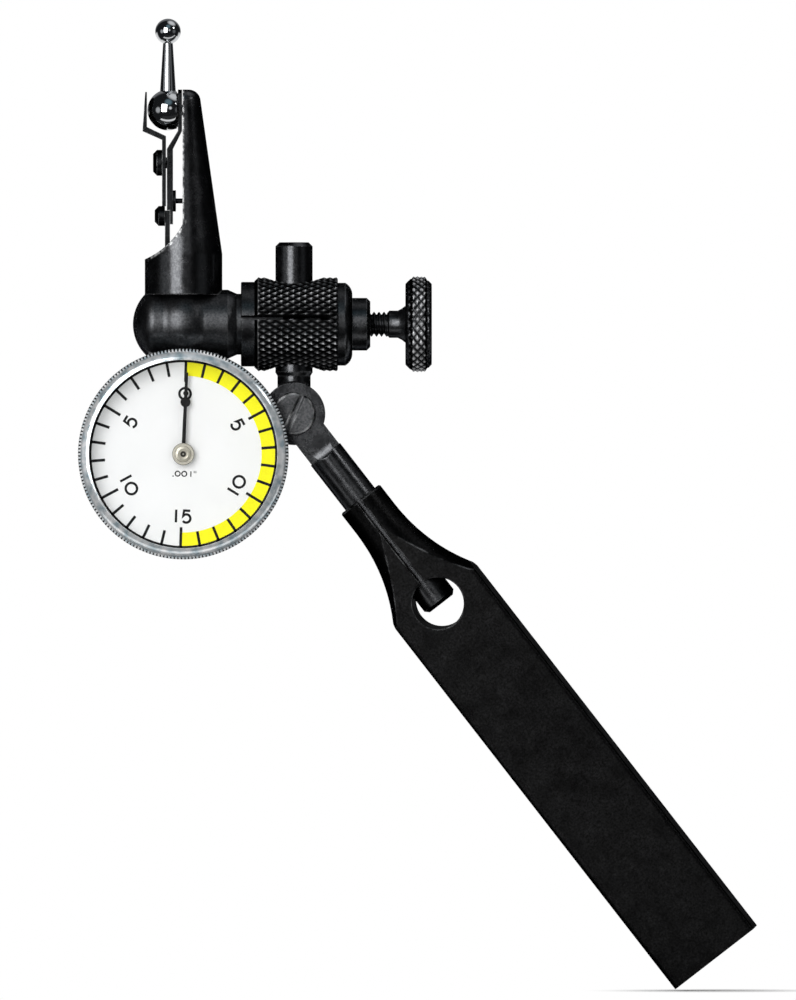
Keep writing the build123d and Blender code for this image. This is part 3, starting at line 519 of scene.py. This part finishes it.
parts = [
    rings([(0, 2.85), (0.9, 2.85), (0.9, 3.45), (1.5, 3.45), (1.58, 3.55), (1.58, 9.15)], columns),
    (thread_radii, np.repeat(thread_places[:, None], columns, 1)),
    rings(
        [
            (1.6, 12.0),
            (1.73, 12.1),
            (1.73, 13.18),
            (2.0, 13.7),
            (2.35, 14.14),
            (4.9, 14.14),
            (5.15, 14.16),
        ],
        columns,
    ),
    (wheel_radii, np.repeat(wheel_places[:, None], columns, 1)),
    rings([(5.12, 17.49), (4.7, 17.5), (4.55, 17.4), (1.3, 17.4), (1.2, 17.3), (0, 17.3)], columns),
]
thumb = turned(
    "thumb_screw_knurled",
    np.vstack([p[0] for p in parts]),
    np.vstack([p[1] for p in parts]),
    clamp_point,
    (1, 0, 0),
    (0, 0, 1),
    50,
)
put(thumb, "thumb", knurled_black, "blackened_steel", "thumb_screw")

# Indicator body. One blackened steel piece: a turned barrel with a long scooped arm above, a
# round cross bulge with the swivel stub, and the round movement housing with its cover below.

FLAT_PLACE = -0.1
SCOOP_CENTRE = (-8.4, 16.865)
SCOOP_RADIUS = 9.3
ARM_FROM = 12.8
BULGE_TOP = 3.75
barrel_point = Vector(joints["body_swivel"]["pos_m"])
# Its near-white lines beside the arm's flat and scoop are partly wear and partly painted highlight.
turned_body = black_oxide(
    "black_oxide_turned_body",
    barrel_point,
    (0, 0, 1),
    (30, 30, 8000),
    wear_and_glint="#eeefef",
    rough=0.22,
    edge=0.2,
    grain=0.6,
    frame_marks=(FLAT_PLACE, SCOOP_CENTRE, SCOOP_RADIUS, ARM_FROM, BULGE_TOP),
)
dress(turned_body, "body_frame", "back_cover", "cover_screw_1", "cover_screw_2", "cover_screw_3")

# Movement. A small helical spindle of steel in brass bushes, with its hairspring, turns the
# pointer when the follower pin slides along its groove.

turned_brass = bare_metal("turned_brass", "#c8a558", 0.28, 1500.0)
dress(turned_brass, "front_bush", "rear_bush", "hairspring_stud", "hairspring_collet")
dress(ground_steel, "hairspring", "snap_ring", "case_screw_1", "case_screw_2", "case_screw_3")

# Dial case and bezel. Turned from nickel silver and given a satin chrome plate; the bezel's rim
# has a fine straight knurl for the fingers, with painted shade in its grooves, and its crown is
# polished, so it takes the bluish grey of the room; a mottled painted reflection of that grey is
# also painted into its colour.

dial_point = Vector(joints["bezel_turn"]["pos_m"])
satin_chrome = bare_metal(
    "satin_chrome_plate", "#dfe4e8", 0.26, 1200.0, dial_point, (1, 6, 1), 0.16, 0.7
)
dress(satin_chrome, "dial_case")
pale_satin = bare_metal(
    "pale_satin_plate", "#f2f4f5", 0.45, 1200.0, dial_point, (1, 6, 1), 0.06, 0.1
)
dress(pale_satin, "spacer_ring")
TEETH = 184
columns = TEETH * 6
turn = np.linspace(0, 2 * np.pi, columns, endpoint=False)
groove = 1 - ridge(TEETH * turn / (2 * np.pi))[None, :]
band = np.array(
    [(13.36, 4.3, 0.0), (13.4, 4.5, 0.34), (13.4, 7.0, 0.34), (13.22, 7.34, 0.2), (12.98, 7.5, 0.0)]
)
band_radii = band[:, :1] - band[:, 2:] * groove
before = rings([(12.25, 4.2), (13.2, 4.2)], columns)
CROWN_RADIUS = 1.93
CROWN_INNER = 11.98
CROWN_TILT = 8
crown = np.radians(np.linspace(38, CROWN_TILT, 9))
inner = math.radians(CROWN_TILT)
crown_outline = [
    (
        CROWN_INNER + CROWN_RADIUS * (math.sin(t) - math.sin(inner)),
        8.75 - CROWN_RADIUS * (math.cos(inner) - math.cos(t)),
    )
    for t in crown
]
after = rings(
    [(12.9, 7.56), *crown_outline, (11.95, 8.7), (11.95, 8.0), (12.25, 8.0), (12.25, 4.2)],
    columns,
)
bezel = turned(
    "bezel_knurled",
    np.vstack([before[0], band_radii, after[0]]),
    np.vstack([before[1], band[:, 1:2] * np.ones(columns), after[1]]),
    dial_point,
    (0, -1, 0),
    (0, 0, 1),
    40,
)

material, tree, place = new_material("chrome_knurl_and_crown")
centred = combine_vectors(tree, "SUBTRACT", place, dial_point)
side = add_node(tree, "ShaderNodeSeparateXYZ", {0: centred})
around = combine(tree, "ARCTAN2", side.outputs["X"], side.outputs["Z"])
flat = combine_vectors(tree, "MULTIPLY", centred, (1, 0, 1))
radius = combine_vectors(tree, "LENGTH", flat)
tooth = combine(tree, "MULTIPLY", around, TEETH / (2 * math.pi))
between = combine(tree, "PINGPONG", tooth, 0.5)
shaded_valley = remap(tree, between, 0.2, 0.34)
rim = remap(tree, radius, 12.99 * MM, 13.06 * MM)
# The grooves of the rim's knurl are painted near black: painted shade.
groove_shade = combine(tree, "MULTIPLY", shaded_valley, rim)
# A mottle of bluish grey and white is painted into the colour: painted reflection of the room.
smear = noise_at(tree, centred, 900.0, 5.0)
reflection_mottle = remap(tree, smear, 0.35, 0.62)
tint = blend(tree, reflection_mottle, linear("#a9bac2"), linear("#f4f5f6"))
colour = blend(tree, groove_shade, tint, linear("#08090b"))
dull = remap(tree, smear, 0.0, 1.0, 0.1, 0.24)
bright = remap(tree, rim, 0.0, 1.0, 0.66, 0.2)
wall = remap(tree, radius, 11.96 * MM, 11.98 * MM)
bright = combine(tree, "MULTIPLY", bright, wall)
metal = {"Base Color": colour, "Metallic": bright, "Roughness": dull}
finish_material(tree, add_node(tree, "ShaderNodeBsdfPrincipled", metal).outputs[0])
put(bezel, "bezel", material, "bright_metal", "bezel_ring")

# Crystal. A flat clear window of acrylic sheet, snapped in behind the lip: it only shows as a
# faint sheen over the dial.

material, tree, place = new_material("clear_acrylic_window")
smear = noise_at(tree, place, 160.0, 3.0)
gloss = remap(tree, smear, 0.0, 1.0, 0.02, 0.08)
tint = blend(tree, smear, linear("#fafafa"), linear("#fefefe"))
through = add_node(tree, "ShaderNodeBsdfTransparent", {"Color": tint}).outputs[0]
sheen = add_node(
    tree, "ShaderNodeBsdfAnisotropic", {"Color": linear("#ffffff"), "Roughness": gloss}
).outputs[0]
outer = add_node(tree, "ShaderNodeNewGeometry").outputs["Backfacing"]
outer = combine(tree, "SUBTRACT", 1.0, outer)
facing = add_node(tree, "ShaderNodeFresnel", {"IOR": 1.38}).outputs[0]
facing = combine(tree, "MULTIPLY", facing, outer)
window = add_node(tree, "ShaderNodeMixShader", {0: facing, 1: through, 2: sheen})
finish_material(tree, window.outputs[0])
dress(material, "crystal")

# Dial. A disc of sheet brass sprayed matt white, with its scale printed in black and one half
# marked by a printed yellow band. It has thirty divisions, counted both ways from the top.

DIAL_FACE = 5.55
PRINT = 0.015
PRINT_TURN = 1.7
DIVISIONS = 30


def painted(name, colour, rough, scale=900.0, contrast=0.04):
    """Paint or ink: one colour with faint clouds, and the fine pebble of a sprayed coat."""
    material, tree, place = new_material(name)
    noise = noise_at(tree, place, scale, 5.0, 0.6)
    bright = linear(colour)
    dim = tuple(channel * (1 - contrast) for channel in bright[:3]) + (1.0,)
    tone = blend(tree, noise, dim, bright)
    pebble = noise_at(tree, place, 9000.0, 2.0)
    relief = add_node(
        tree, "ShaderNodeBump", {"Height": pebble, "Strength": 0.08, "Distance": 0.01 * MM}
    ).outputs[0]
    shader = add_node(
        tree,
        "ShaderNodeBsdfPrincipled",
        {"Base Color": tone, "Roughness": rough, "Specular IOR Level": 0.3, "Normal": relief},
    )
    finish_material(tree, shader.outputs[0])
    return material


def stroke(path, width, closed=False, low=DIAL_FACE, high=DIAL_FACE + PRINT):
    """A printed stroke: a flat bar of a given width carried along a path of (right, up) points.
    Each corner's two edges are offset by half the width along the mitre of its neighbours."""
    path = np.array(path, float)
    if closed:
        ahead, behind = np.roll(path, -1, 0) - path, path - np.roll(path, 1, 0)
    else:
        step = np.diff(path, axis=0)
        ahead, behind = np.vstack([step, step[-1:]]), np.vstack([step[:1], step])
    ahead = ahead / np.linalg.norm(ahead, axis=1)[:, None]
    behind = behind / np.linalg.norm(behind, axis=1)[:, None]
    along = ahead + behind
    along = along / np.linalg.norm(along, axis=1)[:, None]
    mitre = 1 / np.clip((along * ahead).sum(1), 0.4, 1)
    across = np.stack([-along[:, 1], along[:, 0]], 1) * (width / 2 * mitre)[:, None]
    left, right = path + across, path - across
    rows = [
        np.column_stack([side, np.full(len(path), level)])
        for side, level in ((left, low), (left, high), (right, high), (right, low))
    ]
    points = np.stack(rows, 1).reshape(-1, 3)
    count = len(path)
    row, column = np.meshgrid(
        np.arange(count if closed else count - 1), np.arange(4), indexing="ij"
    )
    ahead_row, next_column = (row + 1) % count, (column + 1) % 4
    faces = np.stack(
        [
            row * 4 + column,
            row * 4 + next_column,
            ahead_row * 4 + next_column,
            ahead_row * 4 + column,
        ],
        -1,
    ).reshape(-1, 4).tolist()
    if not closed:
        last = (count - 1) * 4
        faces += [[0, 3, 2, 1], [last, last + 1, last + 2, last + 3]]
    return points, faces


def arc(centre, radius, start, end, steps):
    """Points on an arc, its angles in degrees counted from the right, anticlockwise."""
    turn = np.radians(np.linspace(start, end, steps))
    return np.column_stack([centre[0] + radius * np.cos(turn), centre[1] + radius * np.sin(turn)])


def on_dial(name, strokes):
    """One mesh object of many strokes: right, up and out of the dial become +X, +Z and -Y."""
    points, faces, count = [], [], 0
    for stroke_points, stroke_faces in strokes:
        points.append(stroke_points)
        faces += [[corner + count for corner in face] for face in stroke_faces]
        count += len(stroke_points)
    right, up, out = np.vstack(points).T
    centre = np.array(dial_point) / MM
    return mesh_object(name, centre + np.column_stack([right, -out, up]), faces)


def turned_about(path, degrees):
    """A path turned clockwise about the dial's centre."""
    turn = math.radians(degrees)
    spin = np.array([[math.cos(turn), -math.sin(turn)], [math.sin(turn), math.cos(turn)]])
    return np.asarray(path, float) @ spin


digit_height = 1.62
digit_width = 0.31
half = digit_height / 2
bowl = digit_height * 0.325
figures = {
    "0": [(arc((0, 0), 0.72, 0, 360, 41)[:-1], True)],
    "1": [([(0, -half), (0, half)], False)],
    "5": [
        (
            np.vstack(
                [
                    [(0.42, half - 0.1), (-0.36, half - 0.1)],
                    [(-0.47, 0.0)],
                    arc((-0.06, -half + bowl), bowl, 118, -142, 22),
                ]
            ),
            False,
        )
    ],
}


def figure(text, spacing, scale=1.0, width=digit_width):
    """The strokes of a number centred on zero: each figure's path is shifted along the line."""
    made = []
    for place, letter in enumerate(text):
        shift = (place - (len(text) - 1) / 2) * spacing
        for path, closed in figures[letter]:
            made.append((np.asarray(path) * scale + np.array((shift, 0)), closed, width))
    return made


print_strokes = []
for number in range(DIVISIONS):
    length = {0: 2.75, 15: 2.65, 5: 2.54, 25: 2.54, 10: 2.54, 20: 2.54}.get(number, 1.98)
    mark = turned_about([(0, 11.93), (0, 11.93 - length)], 360 / DIVISIONS * number + PRINT_TURN)
    print_strokes.append(stroke(mark, 0.35, high=DIAL_FACE + 2 * PRINT))
labels = [
    ("0", 0, 0, 0),
    ("5", 60, 60, 0),
    ("5", -60, -60, 0),
    ("10", 120, -60, 1.46),
    ("10", -120, 60, 1.46),
    ("15", 180, 0, 1.36),
]
for text, place, lean, spacing in labels:
    centre = turned_about([(0, 7.66 if text == "0" else 7.87)], place + PRINT_TURN)[0]
    for path, closed, width in figure(text, spacing):
        print_strokes.append(stroke(turned_about(path, lean + PRINT_TURN) + centre, width, closed))
unit = turned_about([(0.2, -2.5)], PRINT_TURN)[0]
for path, closed, width in figure("001", 0.84, 0.43, 0.15):
    print_strokes.append(stroke(turned_about(path, PRINT_TURN) + unit, width, closed))
print_strokes.append(stroke(np.array([(-1.5, -0.28), (-1.34, -0.28)]) + unit, 0.16))
for place in (1.26, 1.48):
    print_strokes.append(stroke(np.array([(place, 0.08), (place, 0.36)]) + unit, 0.1))
# A black ring 0.3 wide is drawn round the dial at a radius of 11.8, just inside the bezel's lip.
print_strokes.append(
    stroke(arc((0, 0), 11.8, 0, 360, 181)[:-1], 0.3, True, high=DIAL_FACE + 2 * PRINT)
)
scale_print = on_dial("dial_print_black", print_strokes)
black_ink = painted("black_printing_ink", "#08080a", 0.5)
put(scale_print, "bezel", black_ink, "black_hand")
band_path = turned_about(arc((0, 0), 10.93, 90, -90, 91), PRINT_TURN)
yellow_band = on_dial("dial_band_yellow", [stroke(band_path, 1.98)])
yellow_ink = painted("yellow_printing_ink", "#fffa00", 0.5)
put(yellow_band, "bezel", yellow_ink, "white_dial")
white_enamel = painted("white_dial_enamel", "#f7f8f8", 0.45)
dress(white_enamel, "dial_plate")

# Pointer. A thin steel hand blued to black, with a disc and a bead near its tip, riveted on a
# small nickel hub whose face was turned in rings; its colour is painted by radius, with dark rings
# of painted shade at the centre, at the step and at the rim.

HAND_LEAN = 2.5
HAND_START, HAND_END = 0.95, 10.38
BEAD_RADIUS, BEAD_PLACE = 0.64, 6.6
SMALL_BEAD_RADIUS, SMALL_BEAD_PLACE = 0.34, 7.72
reach = np.linspace(HAND_START, HAND_END, 240)
strip = 0.25 - 0.006 * reach
disc = np.sqrt(np.clip(BEAD_RADIUS**2 - (reach - BEAD_PLACE) ** 2, 0, None))
bead = np.sqrt(np.clip(SMALL_BEAD_RADIUS**2 - (reach - SMALL_BEAD_PLACE) ** 2, 0, None))
half_width = np.maximum(strip, np.maximum(disc, bead))
lean = math.radians(HAND_LEAN)
along, aside = (
    np.array((math.sin(lean), 0, math.cos(lean))),
    np.array((math.cos(lean), 0, -math.sin(lean))),
)
corners = [(-1, 6.36), (-1, 6.49), (1, 6.49), (1, 6.36)]
rows = [
    reach[:, None] * along + side * half_width[:, None] * aside + np.array((0, -out, 0))
    for side, out in corners
]
points = np.stack(rows, 1).reshape(-1, 3) + np.array(dial_point) / MM
last = (len(reach) - 1) * 4
faces = grid_faces(len(reach), 4).tolist() + [[0, 3, 2, 1], [last, last + 1, last + 2, last + 3]]
hand = mesh_object("pointer_hand_blued", points, faces)
black_enamel = painted("black_hand_enamel", "#060607", 0.5)
put(hand, "pointer", black_enamel, "black_hand", "pointer_hand")
hub_outline = [
    (0.52, 5.95),
    (1.4, 5.95),
    (1.4, 6.62),
    (1.34, 6.68),
    (1.18, 6.68),
    (1.12, 6.62),
    (1.04, 6.62),
    (0.98, 6.7),
    (0.88, 6.72),
    (0.82, 6.9),
    (0.7, 6.93),
    (0.62, 6.88),
    (0.52, 6.86),
    (0.52, 5.95),
]
hub = turned("pointer_hub_turned", *rings(hub_outline, 96), dial_point, (0, -1, 0), (0, 0, 1), 30)
material, tree, place = new_material("turned_nickel_painted_shade")
centred = combine_vectors(tree, "SUBTRACT", place, dial_point)
flat = combine_vectors(tree, "MULTIPLY", centred, (1, 0, 1))
radius = combine_vectors(tree, "LENGTH", flat)
share = combine(tree, "DIVIDE", radius, 1.4 * MM)
ramp = add_node(tree, "ShaderNodeValToRGB", {"Fac": share})
# The hub's colour by radius: pale faces, with dark rings of painted shade at the centre, the step
# and the rim.
shaded_ring_stops = [
    (0.0, "#d8d4c8"),
    (0.1, "#26251f"),
    (0.24, "#1c1b18"),
    (0.3, "#c9c4b4"),
    (0.66, "#d6d2c4"),
    (0.72, "#8e8a7c"),
    (0.78, "#d9d6ca"),
    (0.93, "#c4c0b2"),
    (1.0, "#3a3833"),
]
for place_on, shade in shaded_ring_stops[1:-1]:
    ramp.color_ramp.elements.new(place_on)
for element, (place_on, shade) in zip(ramp.color_ramp.elements, shaded_ring_stops):
    element.position, element.color = place_on, linear(shade)
streaks = noise_at(tree, centred, 2500.0, 3.0)
dull = remap(tree, streaks, 0.0, 1.0, 0.22, 0.42)
nickel = {"Base Color": ramp.outputs["Color"], "Metallic": 0.5, "Roughness": dull}
finish_material(tree, add_node(tree, "ShaderNodeBsdfPrincipled", nickel).outputs[0])
put(hub, "pointer", material, "bright_metal", "pointer_hub")
dress(material, "spindle")

# Lever group. A cranked lever of blackened spring steel, its friction clip, tail and screws. The
# cut edges of the strip are rubbed bright.

fulcrum = Vector(joints["contact_swivel"]["pos_m"])
lever_black = black_oxide(
    "black_oxide_lever_strip",
    fulcrum,
    (1, 0, 0),
    (900, 900, 900),
    dark="#1c1d1e",
    pale="#3a3b3d",
    wear_and_glint="#c8cacc",
    rough=0.28,
    edge=0.14,
)
dress(
    lever_black,
    "lever_arm",
    "friction_clip",
    "tension_screw",
    "clip_screw",
    "transmission_tail",
    "limit_pin",
)
dress(ground_steel, "follower_pin", "fulcrum_stud")
washer_outline = [
    (0.95, -0.83), (2.1, -0.83), (2.15, -0.8), (2.15, -0.72), (0.95, -0.72), (0.95, -0.83)
]
washer = turned("friction_washer", *rings(washer_outline, 64), fulcrum, (1, 0, 0), (0, 0, 1))
put(washer, "lever", lever_black, "blackened_steel")

# Contact point. A ball and a tapered stem turned from one piece with the flat-sided swivel ball,
# hardened, chromed and polished to a mirror.

SWIVEL_RADIUS = 2.6
ROOT_RADIUS = 1.0
NECK_RADIUS = 0.62
TIP_RADIUS = 1.62
TIP_PLACE = 9.99
SIDE_FLAT = 1.14
CENTRE_SHIFT = 1.98
root = math.asin(ROOT_RADIUS / SWIVEL_RADIUS)
neck = math.asin(NECK_RADIUS / TIP_RADIUS)
lower = np.linspace(math.pi, root, 60)
upper = np.linspace(math.pi - neck, 0, 40)
stem = np.linspace(0, 1, 14)[1:-1]
stem_start, stem_end = SWIVEL_RADIUS * math.cos(root), TIP_PLACE - TIP_RADIUS * math.cos(neck)
radius = np.concatenate(
    [
        SWIVEL_RADIUS * np.sin(lower),
        ROOT_RADIUS + (NECK_RADIUS - ROOT_RADIUS) * stem,
        TIP_RADIUS * np.sin(upper),
    ]
)
place = np.concatenate(
    [
        SWIVEL_RADIUS * np.cos(lower),
        stem_start + (stem_end - stem_start) * stem,
        TIP_PLACE + TIP_RADIUS * np.cos(upper),
    ]
)
columns = 96
turn = np.linspace(0, 2 * np.pi, columns, endpoint=False)
flat_limit = np.where(place < SWIVEL_RADIUS, SIDE_FLAT, TIP_RADIUS)
right = np.minimum(radius[:, None] * np.cos(turn), flat_limit[:, None])
front = radius[:, None] * np.sin(turn)
centre = np.array(fulcrum) / MM - np.array((CENTRE_SHIFT, 0, 0))
points = np.stack([right, front, np.repeat(place[:, None], columns, 1)], -1) + centre
contact = mesh_object(
    "contact_point_polished", points.reshape(-1, 3), grid_faces(len(radius), columns), 25
)
mirror_chrome = bare_metal("polished_hard_chrome", "#d5d7d9", 0.06, 700.0, contrast=0.05)
put(contact, "contact", mirror_chrome, "polished_chrome", "contact_point")

# Studio. A white floor and background, one broad soft lamp at the camera's left and two small
# ones at its right. What shines mirrors a dim room with soft panels and a dim floor with a pale
# strip, so blackened steel is black between its highlights; behind the object both are pale.

FLOOR_HALF = 0.16
FLOOR_GAP = 0.0002
SHADOW_NEAR, SHADOW_FAR = 0.004, 0.018
STRIP_AHEAD, STRIP_HALF, STRIP_EDGE = 0.06, 0.015, 0.003
REAR_NEAR, REAR_FAR = 0.025, 0.06
DIM_FLOOR, DIM_ROOM, PALE_ROOM = "#303132", "#1c1d1f", "#f4f4f4"
LEVEL_BEHIND, LEVEL_AHEAD = 0.37, 0.86
low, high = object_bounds()
floor_level = low.z - FLOOR_GAP
floor_mesh = bpy.data.meshes.new("floor")
floor_corners = [
    (x * FLOOR_HALF, y * FLOOR_HALF, floor_level) for x, y in ((-1, -1), (1, -1), (1, 1), (-1, 1))
]
floor_mesh.from_pydata(floor_corners, [], [(0, 1, 2, 3)])
floor = bpy.data.objects.new("floor", floor_mesh)
bpy.context.collection.objects.link(floor)
material, tree, place = new_material("pale_floor")
away = combine_vectors(tree, "DISTANCE", place, (0, 0, floor_level))
far = remap(tree, away, SHADOW_NEAR, SHADOW_FAR, kind="SMOOTHSTEP")
path_kind = add_node(tree, "ShaderNodeLightPath")
seen = combine(
    tree, "MAXIMUM", path_kind.outputs["Is Camera Ray"], path_kind.outputs["Is Transmission Ray"]
)
glow = combine(tree, "MULTIPLY", seen, far)
matt = add_node(tree, "ShaderNodeBsdfDiffuse", {"Color": linear("#fbfbfb")}).outputs[0]
white = add_node(tree, "ShaderNodeEmission", {"Color": (1, 1, 1, 1), "Strength": 1.0}).outputs[0]
lit = add_node(tree, "ShaderNodeMixShader", {0: glow, 1: matt, 2: white}).outputs[0]
forward = add_node(tree, "ShaderNodeSeparateXYZ", {0: place}).outputs["Y"]
off_strip = combine(tree, "ADD", forward, STRIP_AHEAD)
off_strip = combine(tree, "ABSOLUTE", off_strip)
strip = remap(tree, off_strip, STRIP_HALF + STRIP_EDGE, STRIP_HALF - STRIP_EDGE)
rear = remap(tree, forward, REAR_NEAR, REAR_FAR)
pale_part = combine(tree, "MAXIMUM", strip, rear)
shade = blend(tree, pale_part, linear(DIM_FLOOR), linear(PALE_ROOM))
dim = add_node(tree, "ShaderNodeEmission", {"Color": shade, "Strength": 1.0}).outputs[0]
mixed = add_node(
    tree, "ShaderNodeMixShader", {0: path_kind.outputs["Is Glossy Ray"], 1: lit, 2: dim}
).outputs[0]
finish_material(tree, mixed)
floor_mesh.materials.append(material)


def facing_to(azimuth, elevation):
    """The direction of an azimuth, counted from the camera to its right, and an elevation
    upwards, both in degrees."""
    turn, rise = math.radians(azimuth), math.radians(elevation)
    return Vector(
        (math.sin(turn) * math.cos(rise), -math.cos(turn) * math.cos(rise), math.sin(rise))
    )


world = bpy.data.worlds.new("studio")
bpy.context.scene.world = world
world.use_nodes = True
tree = world.node_tree
tree.nodes.clear()
path_kind = add_node(tree, "ShaderNodeLightPath")
direction = add_node(tree, "ShaderNodeTexCoord").outputs["Generated"]
room = linear(DIM_ROOM)
for azimuth, elevation, half_angle, edge, shade in (
    (-58, 0, 13, 5, "#b4b6b8"),
    (58, 0, 12, 8, "#66686a"),
    (4, 46, 15, 9, "#627983"),
    (14, 11, 7, 4, "#e0e1e2"),
    (180, 24, 36, 14, "#7c7d7f"),
    (95, 66, 20, 12, "#dfe0e2"),
):
    toward = combine_vectors(tree, "DOT_PRODUCT", direction, facing_to(azimuth, elevation))
    outer, inner = (math.cos(math.radians(half_angle + shift)) for shift in (edge, -edge))
    panel = remap(tree, toward, outer, inner, kind="SMOOTHSTEP")
    room = blend(tree, panel, room, linear(shade))
split = add_node(tree, "ShaderNodeSeparateXYZ", {0: direction})
behind = remap(tree, split.outputs["Y"], 0.25, 0.6, kind="SMOOTHSTEP")
lower = remap(tree, split.outputs["Z"], 0.0, -0.16, kind="SMOOTHSTEP")
rear = combine(tree, "MULTIPLY", behind, lower)
room = blend(tree, rear, room, linear(PALE_ROOM))
mirrored = combine(
    tree, "MAXIMUM", path_kind.outputs["Is Glossy Ray"], path_kind.outputs["Is Transmission Ray"]
)
ahead = combine_vectors(tree, "DOT_PRODUCT", direction, (0, -1, 0))
ahead = combine(tree, "MAXIMUM", ahead, 0.0)
ahead = combine(tree, "POWER", ahead, 2.0)
level = remap(tree, ahead, 0.0, 1.0, LEVEL_BEHIND, LEVEL_AHEAD)
around = blend(tree, mirrored, level, room)
seen = blend(tree, path_kind.outputs["Is Camera Ray"], around, linear("#ffffff"))
sky = add_node(tree, "ShaderNodeBackground", {"Color": seen, "Strength": 1.0}).outputs[0]
add_node(tree, "ShaderNodeOutputWorld", {"Surface": sky})

CAMERA_PLACE = Vector((-0.04041, -4.3, 0.05808))
FRAME_HEIGHT = 0.127


def softbox(name, azimuth, elevation, distance, width, height, power):
    """A rectangular area lamp that faces the middle of the picture from a distance."""
    lamp = bpy.data.lights.new(name, "AREA")
    lamp.shape, lamp.size, lamp.size_y, lamp.energy = "RECTANGLE", width, height, power
    made = bpy.data.objects.new(name, lamp)
    bpy.context.collection.objects.link(made)
    target = Vector((CAMERA_PLACE.x, 0, CAMERA_PLACE.z))
    made.location = target + distance * facing_to(azimuth, elevation)
    made.rotation_mode = "QUATERNION"
    made.rotation_quaternion = (target - made.location).to_track_quat("-Z", "Y")
    return made


softbox("lamp_key", -24, 15, 0.6, 0.32, 0.46, 2.4)
softbox("lamp_right", 58, 34, 0.7, 0.12, 0.12, 0.25)
softbox("lamp_low", 52, -34, 0.6, 0.1, 0.06, 1.0)

camera_data = bpy.data.cameras.new("camera")
camera = bpy.data.objects.new("camera", camera_data)
bpy.context.collection.objects.link(camera)
camera.location = CAMERA_PLACE
camera.rotation_euler = (math.pi / 2, 0, 0)
camera_data.sensor_width = 36.0
camera_data.lens = 36.0 * -CAMERA_PLACE.y / FRAME_HEIGHT
camera_data.clip_start, camera_data.clip_end = 0.01, 10.0
bpy.context.scene.camera = camera
bpy.context.scene.view_settings.view_transform = "Standard"
